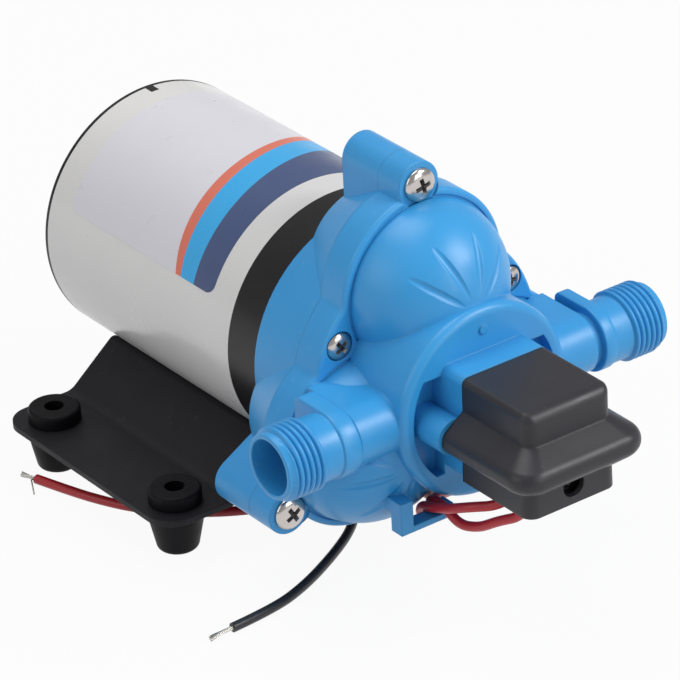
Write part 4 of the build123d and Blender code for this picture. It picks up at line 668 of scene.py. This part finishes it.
# pan head screws with cross recess: what all have in common, and each size
screwShape = {
    "spinSteps": 56, "domeSteps": 12, "domePower": 2.3, "pointLength": 2.2, "pointShare": 0.35,
    "threadSteps": 28, "threadRunOut": 0.8, "threadEnd": 1.6, "threadShorter": 4.0,
    "crossUpward": 0.3, "crossRise": 0.45, "crossTaper": 0.74,
}
screwSettings = {
    "long": {"name": "headScrewsLong", "node": "head_screws_long", "seat": 39.3, "circle": 55.4, "start": 90,
             "headRadius": 4.85, "headHeight": 2.3, "rim": 0.55, "crossReach": 4.9, "crossArm": 1.35,
             "crossDepth": 1.7, "turns": (14.0, 31.0, 52.0), "shankRoot": 1.95, "shankCrest": 2.5,
             "shankLength": 24.0, "pitch": 1.6},
    "short": {"name": "headScrewsShort", "node": "head_screws_short", "seat": 38.8, "circle": 33.4,
              "start": 30, "headRadius": 4.0, "headHeight": 2.2, "rim": 0.5, "crossReach": 4.3,
              "crossArm": 1.2, "crossDepth": 1.5, "turns": (8.0, 38.0, 20.0), "shankRoot": 1.5,
              "shankCrest": 2.0, "shankLength": 18.0, "pitch": 1.3},
}


def sinkCross(work, reach, arm, depth, turn):
    # cuts a cross into the top of a screw head and sinks it, deeper at the middle
    angle = math.radians(turn)
    # the recess layer marks the sunk corners, where the steel material paints shade
    recess = work.verts.layers.float.new("recess")
    for offset in (reach / 2, arm / 2):
        for quarter in range(4):
            around = angle + quarter * fullTurn / 4
            way = Vector((math.cos(around), math.sin(around), 0))
            cutAcross(work, way * (offset * mm), way)
    work.normal_update()
    cross = []
    for face in work.faces:
        middle = face.calc_center_median() / mm
        along = abs(middle.x * math.cos(angle) + middle.y * math.sin(angle))
        across = abs(middle.y * math.cos(angle) - middle.x * math.sin(angle))
        inArms = min(along, across) < arm / 2 and max(along, across) < reach / 2
        if inArms and face.normal.z > screwShape["crossUpward"]:
            cross.append(face)
    sunk = movedCorners(bmesh.ops.extrude_face_region(work, geom=cross)["geom"])
    leftOver = [face for face in cross if face.is_valid]
    if leftOver:
        bmesh.ops.delete(work, geom=leftOver, context="FACES_ONLY")
    for corner in sunk:
        corner[recess] = 1.0
        distance = math.hypot(corner.co.x, corner.co.y) / (reach / 2 * mm)
        corner.co.z -= depth * mm * (1.0 - screwShape["crossRise"] * min(distance, 1.0))
    taper = screwShape["crossTaper"]
    bmesh.ops.scale(work, vec=(taper, taper, 1), verts=sunk)
    return work


def panScrew(settings, turn):
    radius, height, rim = settings["headRadius"], settings["headHeight"], settings["rim"]
    root, length, pitch = settings["shankRoot"], settings["shankLength"], settings["pitch"]
    dome = []
    for step in range(screwShape["domeSteps"] + 1):
        share = math.sin(math.pi / 2 * step / screwShape["domeSteps"])
        fullness = math.sqrt(max(1 - share ** screwShape["domePower"], 0))
        dome.append((radius * share, rim + (height - rim) * fullness))
    shank = [(radius, 0.0), (root, 0.0), (root, -length + screwShape["pointLength"]),
             (root * screwShape["pointShare"], -length), (0.0, -length)]
    work = sinkCross(spinProfile(dome + shank, screwShape["spinSteps"]), settings["crossReach"],
                     settings["crossArm"], settings["crossDepth"], turn)
    ridge = threadRidge(root, settings["shankCrest"], pitch, (length - screwShape["threadShorter"]) / pitch,
                        screwShape["threadSteps"], screwShape["threadRunOut"])
    joinShape(work, ridge, Matrix.Translation((0, 0, (-length + screwShape["threadEnd"]) * mm)))
    return work


def makeScrews(settings):
    # three of a kind, a third of a turn apart
    work = bmesh.new()
    for index, turn in enumerate(settings["turns"]):
        around = math.radians(settings["start"] + 120 * index)
        x, rise = settings["circle"] * math.cos(around), settings["circle"] * math.sin(around)
        joinShape(work, panScrew(settings, turn), frontPlace(x, rise, settings["seat"]))
    piece = shapeToPiece(settings["name"], work, polishedSteel, "pump_body", smoothAngle=28.0)
    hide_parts(settings["node"])


for screwKind in screwSettings.values():
    makeScrews(screwKind)
print("head screws made")


# threaded port fittings: radii, and distances from the motor axis along the port
fittingSettings = {
    "tip": 64.7, "threadStart": 51.8, "root": 9.32, "rootStep": 0.1, "crest": 10.45, "pitch": 1.814,
    "ridgeTurns": 5.7, "ridgeStart": 52.78, "ridgeRunOut": 0.12, "plainLead": 1.3, "leadSlope": 0.9,
    "leadSkin": 0.02, "bore": 7.9, "boreFloor": 48.7, "seatBore": 7.4, "seatFloor": 47.7,
    "spigotBore": 4.6, "spigotEnd": 34.0, "spigot": 6.6, "spigotEdge": 0.3, "grooveDepth": 1.05,
    "grooveFrom": 36.6, "grooveTo": 38.2, "neck": 7.6, "neckFrom": 40.4, "flangeTo": 46.6,
    "flange": 9.8, "flangeRear": 13.1, "flangeCorner": 2.4, "flangeEdge": 0.45, "flangeOverlap": 1.0,
    "flangeHole": 7.3, "collar": 9.3, "spinSteps": 96, "flangeSegments": 144,
    # the rounded rim of the mouth, as steps off root, bore and tip
    "outerRim": ((0.0, 0.5), (0.15, 0.15), (0.45, 0.0)), "innerRim": ((0.25, 0.0), (0.05, 0.1), (0.0, 0.35)),
}
portSettings = (
    # the inlet is pushed home, the outlet stands a little proud of its barrel
    {"name": "threadedInlet", "node": "inlet_fitting", "side": -1, "flangeFrom": 40.9},
    {"name": "threadedOutlet", "node": "outlet_fitting", "side": 1, "flangeFrom": 42.6},
)


def flangeReach(way, settings):
    # how far the rounded square half of the flange reaches from the axis in that direction
    rear, half, corner = settings["flangeRear"], settings["flange"], settings["flangeCorner"]
    least = 0.000001
    reach = min(rear / max(way.x, least), half / max(abs(way.y), least))
    middle = Vector((rear - corner, math.copysign(half - corner, way.y), 0))
    if way.x * reach > middle.x and abs(way.y) * reach > abs(middle.y):
        along = way.dot(middle)
        reach = along + math.sqrt(max(along ** 2 - middle.length_squared + corner ** 2, 0))
    return reach


def makeTube(settings):
    # spigot with its groove, neck, collar and threaded mouth, one closed ring turned round the port's axis
    tip, root, bore = settings["tip"], settings["root"], settings["bore"]
    spigot, spigotEnd, edge = settings["spigot"], settings["spigotEnd"], settings["spigotEdge"]
    collarFrom = settings["flangeTo"] - settings["flangeOverlap"]
    work = spinProfile((
        (settings["spigotBore"], spigotEnd), (spigot - edge, spigotEnd), (spigot, spigotEnd + edge),
        (spigot, settings["grooveFrom"]), (spigot - settings["grooveDepth"], settings["grooveFrom"]),
        (spigot - settings["grooveDepth"], settings["grooveTo"]), (spigot, settings["grooveTo"]),
        (spigot, settings["neckFrom"]), (settings["neck"], settings["neckFrom"]),
        (settings["neck"], collarFrom), (settings["collar"], collarFrom),
        (settings["collar"], settings["threadStart"]), (root, settings["threadStart"] + settings["rootStep"]),
        *((root - inward, tip - back) for inward, back in settings["outerRim"]),
        *((bore + outward, tip - back) for outward, back in settings["innerRim"]),
        (bore, settings["boreFloor"]), (settings["seatBore"], settings["boreFloor"]),
        (settings["seatBore"], settings["seatFloor"]), (settings["spigotBore"], settings["seatFloor"]),
    ), settings["spinSteps"], closed=True)
    ridge = threadRidge(root, settings["crest"], settings["pitch"], settings["ridgeTurns"],
                        settings["spinSteps"], settings["ridgeRunOut"])
    joinShape(work, ridge, Matrix.Translation((0, 0, settings["ridgeStart"] * mm)))
    # the thread ends in a plain lead, so the crests sink towards the mouth
    for corner in work.verts:
        radius = math.hypot(corner.co.x, corner.co.y)
        above = max((tip - settings["plainLead"]) * mm - corner.co.z, 0)
        most = (root + settings["leadSkin"]) * mm + above * settings["leadSlope"]
        if radius > most and corner.co.z > settings["threadStart"] * mm:
            drawIn(corner, radius, most)
    return work


def makeFlange(settings, thickness):
    # a plate with flat top and bottom, open to the rear, with a hole for the neck
    work = bmesh.new()
    outline = bmesh.ops.create_circle(work, cap_ends=False, radius=settings["flange"] * mm,
                                      segments=settings["flangeSegments"])["verts"]
    for corner in outline:
        if corner.co.x > 0:
            way = corner.co.normalized()
            corner.co = way * flangeReach(way, settings) * mm
    rim = work.edges[:]
    hole = bmesh.ops.create_circle(work, cap_ends=False, radius=settings["flangeHole"] * mm,
                                   segments=settings["flangeSegments"])["verts"]
    holeEdges = [edge for edge in work.edges if edge.verts[0] in hole]
    faces = bmesh.ops.bridge_loops(work, edges=rim + holeEdges)["faces"]
    raised = movedCorners(bmesh.ops.extrude_face_region(work, geom=faces)["geom"])
    bmesh.ops.translate(work, verts=raised, vec=(0, 0, thickness * mm))
    bmesh.ops.recalc_face_normals(work, faces=work.faces)
    # only the outer rims are rounded, not the hole and not the steps between segments
    halfway = (settings["flangeHole"] + settings["flange"]) / 2 * mm
    sharp = math.radians(57)
    edges = [edge for edge in work.edges if edge.calc_face_angle(0) > sharp
             and math.hypot(edge.verts[0].co.x, edge.verts[0].co.y) > halfway]
    bmesh.ops.bevel(work, geom=edges, offset=settings["flangeEdge"] * mm, offset_type="OFFSET",
                    affect="EDGES", segments=3, profile=0.5, material=-1)
    return work


def makeFitting(port, settings):
    work = makeTube(settings)
    flange = makeFlange(settings, settings["flangeTo"] - port["flangeFrom"])
    joinShape(work, flange, Matrix.Translation((0, 0, port["flangeFrom"] * mm)))
    whole = bmesh.new()
    joinShape(whole, work, portPlace(port["side"]))
    piece = shapeToPiece(port["name"], whole, bluePlastic, "pump_body", smoothAngle=40.0)
    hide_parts(port["node"])


for port in portSettings:
    makeFitting(port, fittingSettings)
print("port fittings made")


# label round the can
labelSettings = {"radius": 38.3, "sink": 0.03, "thickness": 0.09, "halfTurn": 68.0, "front": 10.0,
                 "height": 69.2, "cornerRadius": 3.2, "step": 1.4}


def makeLabel(settings):
    # cut flat with round corners, thickened, then laid round the can
    halfWidth = math.radians(settings["halfTurn"]) * settings["radius"]
    front, height, lift = settings["front"], settings["height"], 1 * mm
    work = bmesh.new()
    bmesh.ops.create_grid(work, x_segments=1, y_segments=1, size=0.5)
    bmesh.ops.scale(work, vec=(2 * halfWidth * mm, height * mm, 1), verts=work.verts)
    bmesh.ops.translate(work, vec=(0, (front + height / 2) * mm, 0), verts=work.verts)
    bmesh.ops.bevel(work, geom=work.verts[:], offset=settings["cornerRadius"] * mm, offset_type="OFFSET",
                    affect="VERTICES", segments=6, profile=0.5, material=-1)
    cuts = int(2 * halfWidth / settings["step"])
    for cut in range(1, cuts):
        cutAcross(work, ((2 * cut / cuts - 1) * halfWidth * mm, 0, 0), (1, 0, 0))
    layer = work.loops.layers.uv.new("labelMap")
    for face in work.faces:
        for loop in face.loops:
            loop[layer].uv = (loop.vert.co.x / (2 * halfWidth * mm) + 0.5,
                              (loop.vert.co.y / mm - front) / height)
    outer = bmesh.ops.extrude_face_region(work, geom=work.faces[:], use_keep_orig=True)["geom"]
    bmesh.ops.translate(work, verts=movedCorners(outer), vec=(0, 0, lift))
    for corner in work.verts:
        radius = settings["radius"] - settings["sink"]
        if corner.co.z > lift / 2:
            radius += settings["thickness"]
        turn = corner.co.x / (settings["radius"] * mm)
        corner.co = Vector((-radius * mm * math.sin(turn), canFrontY + corner.co.y,
                            axisZ + radius * mm * math.cos(turn)))
    bmesh.ops.recalc_face_normals(work, faces=work.faces)
    paper = labelMaterial(labelPrint, front, height)
    shapeToPiece("canLabel", work, paper, "pump_body", smoothAngle=40.0)


makeLabel(labelSettings)
print("label laid on the can")


# adjuster screw in the window of the boot
adjusterSettings = {
    "headRadius": 2.2, "headHeight": 1.6, "rim": 0.5, "crossReach": 2.9, "crossArm": 0.78, "crossDepth": 0.9,
    "turn": 24.0, "shankRoot": 1.15, "shankCrest": 1.48, "shankLength": 10.0, "pitch": 0.5,
}


def makeAdjuster(settings):
    lowest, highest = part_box("switch_adjuster")
    x = (lowest[0] + highest[0]) / 2 / mm
    rise = ((lowest[2] + highest[2]) / 2 - axisZ) / mm
    seat = (canFrontY - lowest[1]) / mm - settings["headHeight"]
    work = bmesh.new()
    joinShape(work, panScrew(settings, settings["turn"]), frontPlace(x, rise, seat))
    piece = shapeToPiece("adjusterScrew", work, polishedSteel, "pressure_screw",
                         smoothAngle=28.0)
    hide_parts("switch_adjuster")


makeAdjuster(adjusterSettings)
print("adjuster screw made")


# studio: pale floor, plain world, soft lamps given by name, place, size and power
studio = {
    "floorColour": srgb(205, 205, 206), "floorGlow": 0.94, "floorSize": 6.0, "floorDrop": 0.2 * mm,
    "worldLevel": 0.42, "lampsLookAt": (0, -0.03, 0.05),
    "lamps": (("keyLamp", (1.0, -1.25, 1.35), 0.8, 20.0), ("sideLamp", (-1.7, 0.1, 0.9), 1.2, 6.0),
              ("topLamp", (-0.1, 0.35, 1.7), 1.0, 10.0), ("frontLamp", (0.5, -1.9, 0.75), 1.0, 8.0)),
}


def showWhite(tree, otherRay, share, lit, white, outputKind):
    # the camera and that other kind of ray meet the white shader, the object is lit by the first one
    path = tree.nodes.new("ShaderNodeLightPath")
    seen = mathNode(tree, "MAXIMUM", path.outputs["Is Camera Ray"], path.outputs[otherRay])
    blend = tree.nodes.new("ShaderNodeMixShader")
    feed(tree, blend.inputs[0], mathNode(tree, "MULTIPLY", seen, share))
    feed(tree, blend.inputs[1], lit.outputs[0])
    feed(tree, blend.inputs[2], white.outputs[0])
    output = tree.nodes.new(outputKind)
    feed(tree, output.inputs[0], blend.outputs[0])


def plainBackground(tree, strength):
    background = tree.nodes.new("ShaderNodeBackground")
    background.inputs["Color"].default_value = (1, 1, 1, 1)
    background.inputs["Strength"].default_value = strength
    return background


def makeWorld(settings):
    world = bpy.data.worlds.new("studioWorld")
    bpy.context.scene.world = world
    tree = emptyTree(world)
    room, sheet = plainBackground(tree, settings["worldLevel"]), plainBackground(tree, 1.0)
    showWhite(tree, "Is Transmission Ray", 1.0, room, sheet, "ShaderNodeOutputWorld")


def makeFloor(settings):
    material = bpy.data.materials.new("paleFloor")
    tree = emptyTree(material)
    cover = tree.nodes.new("ShaderNodeBsdfDiffuse")
    cover.inputs["Color"].default_value = settings["floorColour"]
    glow = tree.nodes.new("ShaderNodeEmission")
    glow.inputs["Strength"].default_value = 1.0
    showWhite(tree, "Is Glossy Ray", settings["floorGlow"], cover, glow, "ShaderNodeOutputMaterial")
    work = bmesh.new()
    bmesh.ops.create_grid(work, x_segments=1, y_segments=1, size=settings["floorSize"])
    bmesh.ops.translate(work, verts=work.verts, vec=(0, 0, -settings["floorDrop"]))
    data = bpy.data.meshes.new("studioFloor")
    work.to_mesh(data)
    work.free()
    floor = bpy.data.objects.new("studioFloor", data)
    bpy.context.scene.collection.objects.link(floor)
    dress(floor, material)


def makeLamps(settings):
    for name, place, size, power in settings["lamps"]:
        light = bpy.data.lights.new(name, "AREA")
        light.shape = "SQUARE"
        light.size = size
        light.energy = power
        lamp = bpy.data.objects.new(name, light)
        bpy.context.scene.collection.objects.link(lamp)
        lamp.location = place
        lamp.rotation_mode = "QUATERNION"
        lamp.rotation_quaternion = (Vector(place) - Vector(settings["lampsLookAt"])).to_track_quat("Z", "Y")


makeWorld(studio)
makeFloor(studio)
makeLamps(studio)
bpy.context.scene.view_settings.view_transform = "Standard"
print("studio lit")
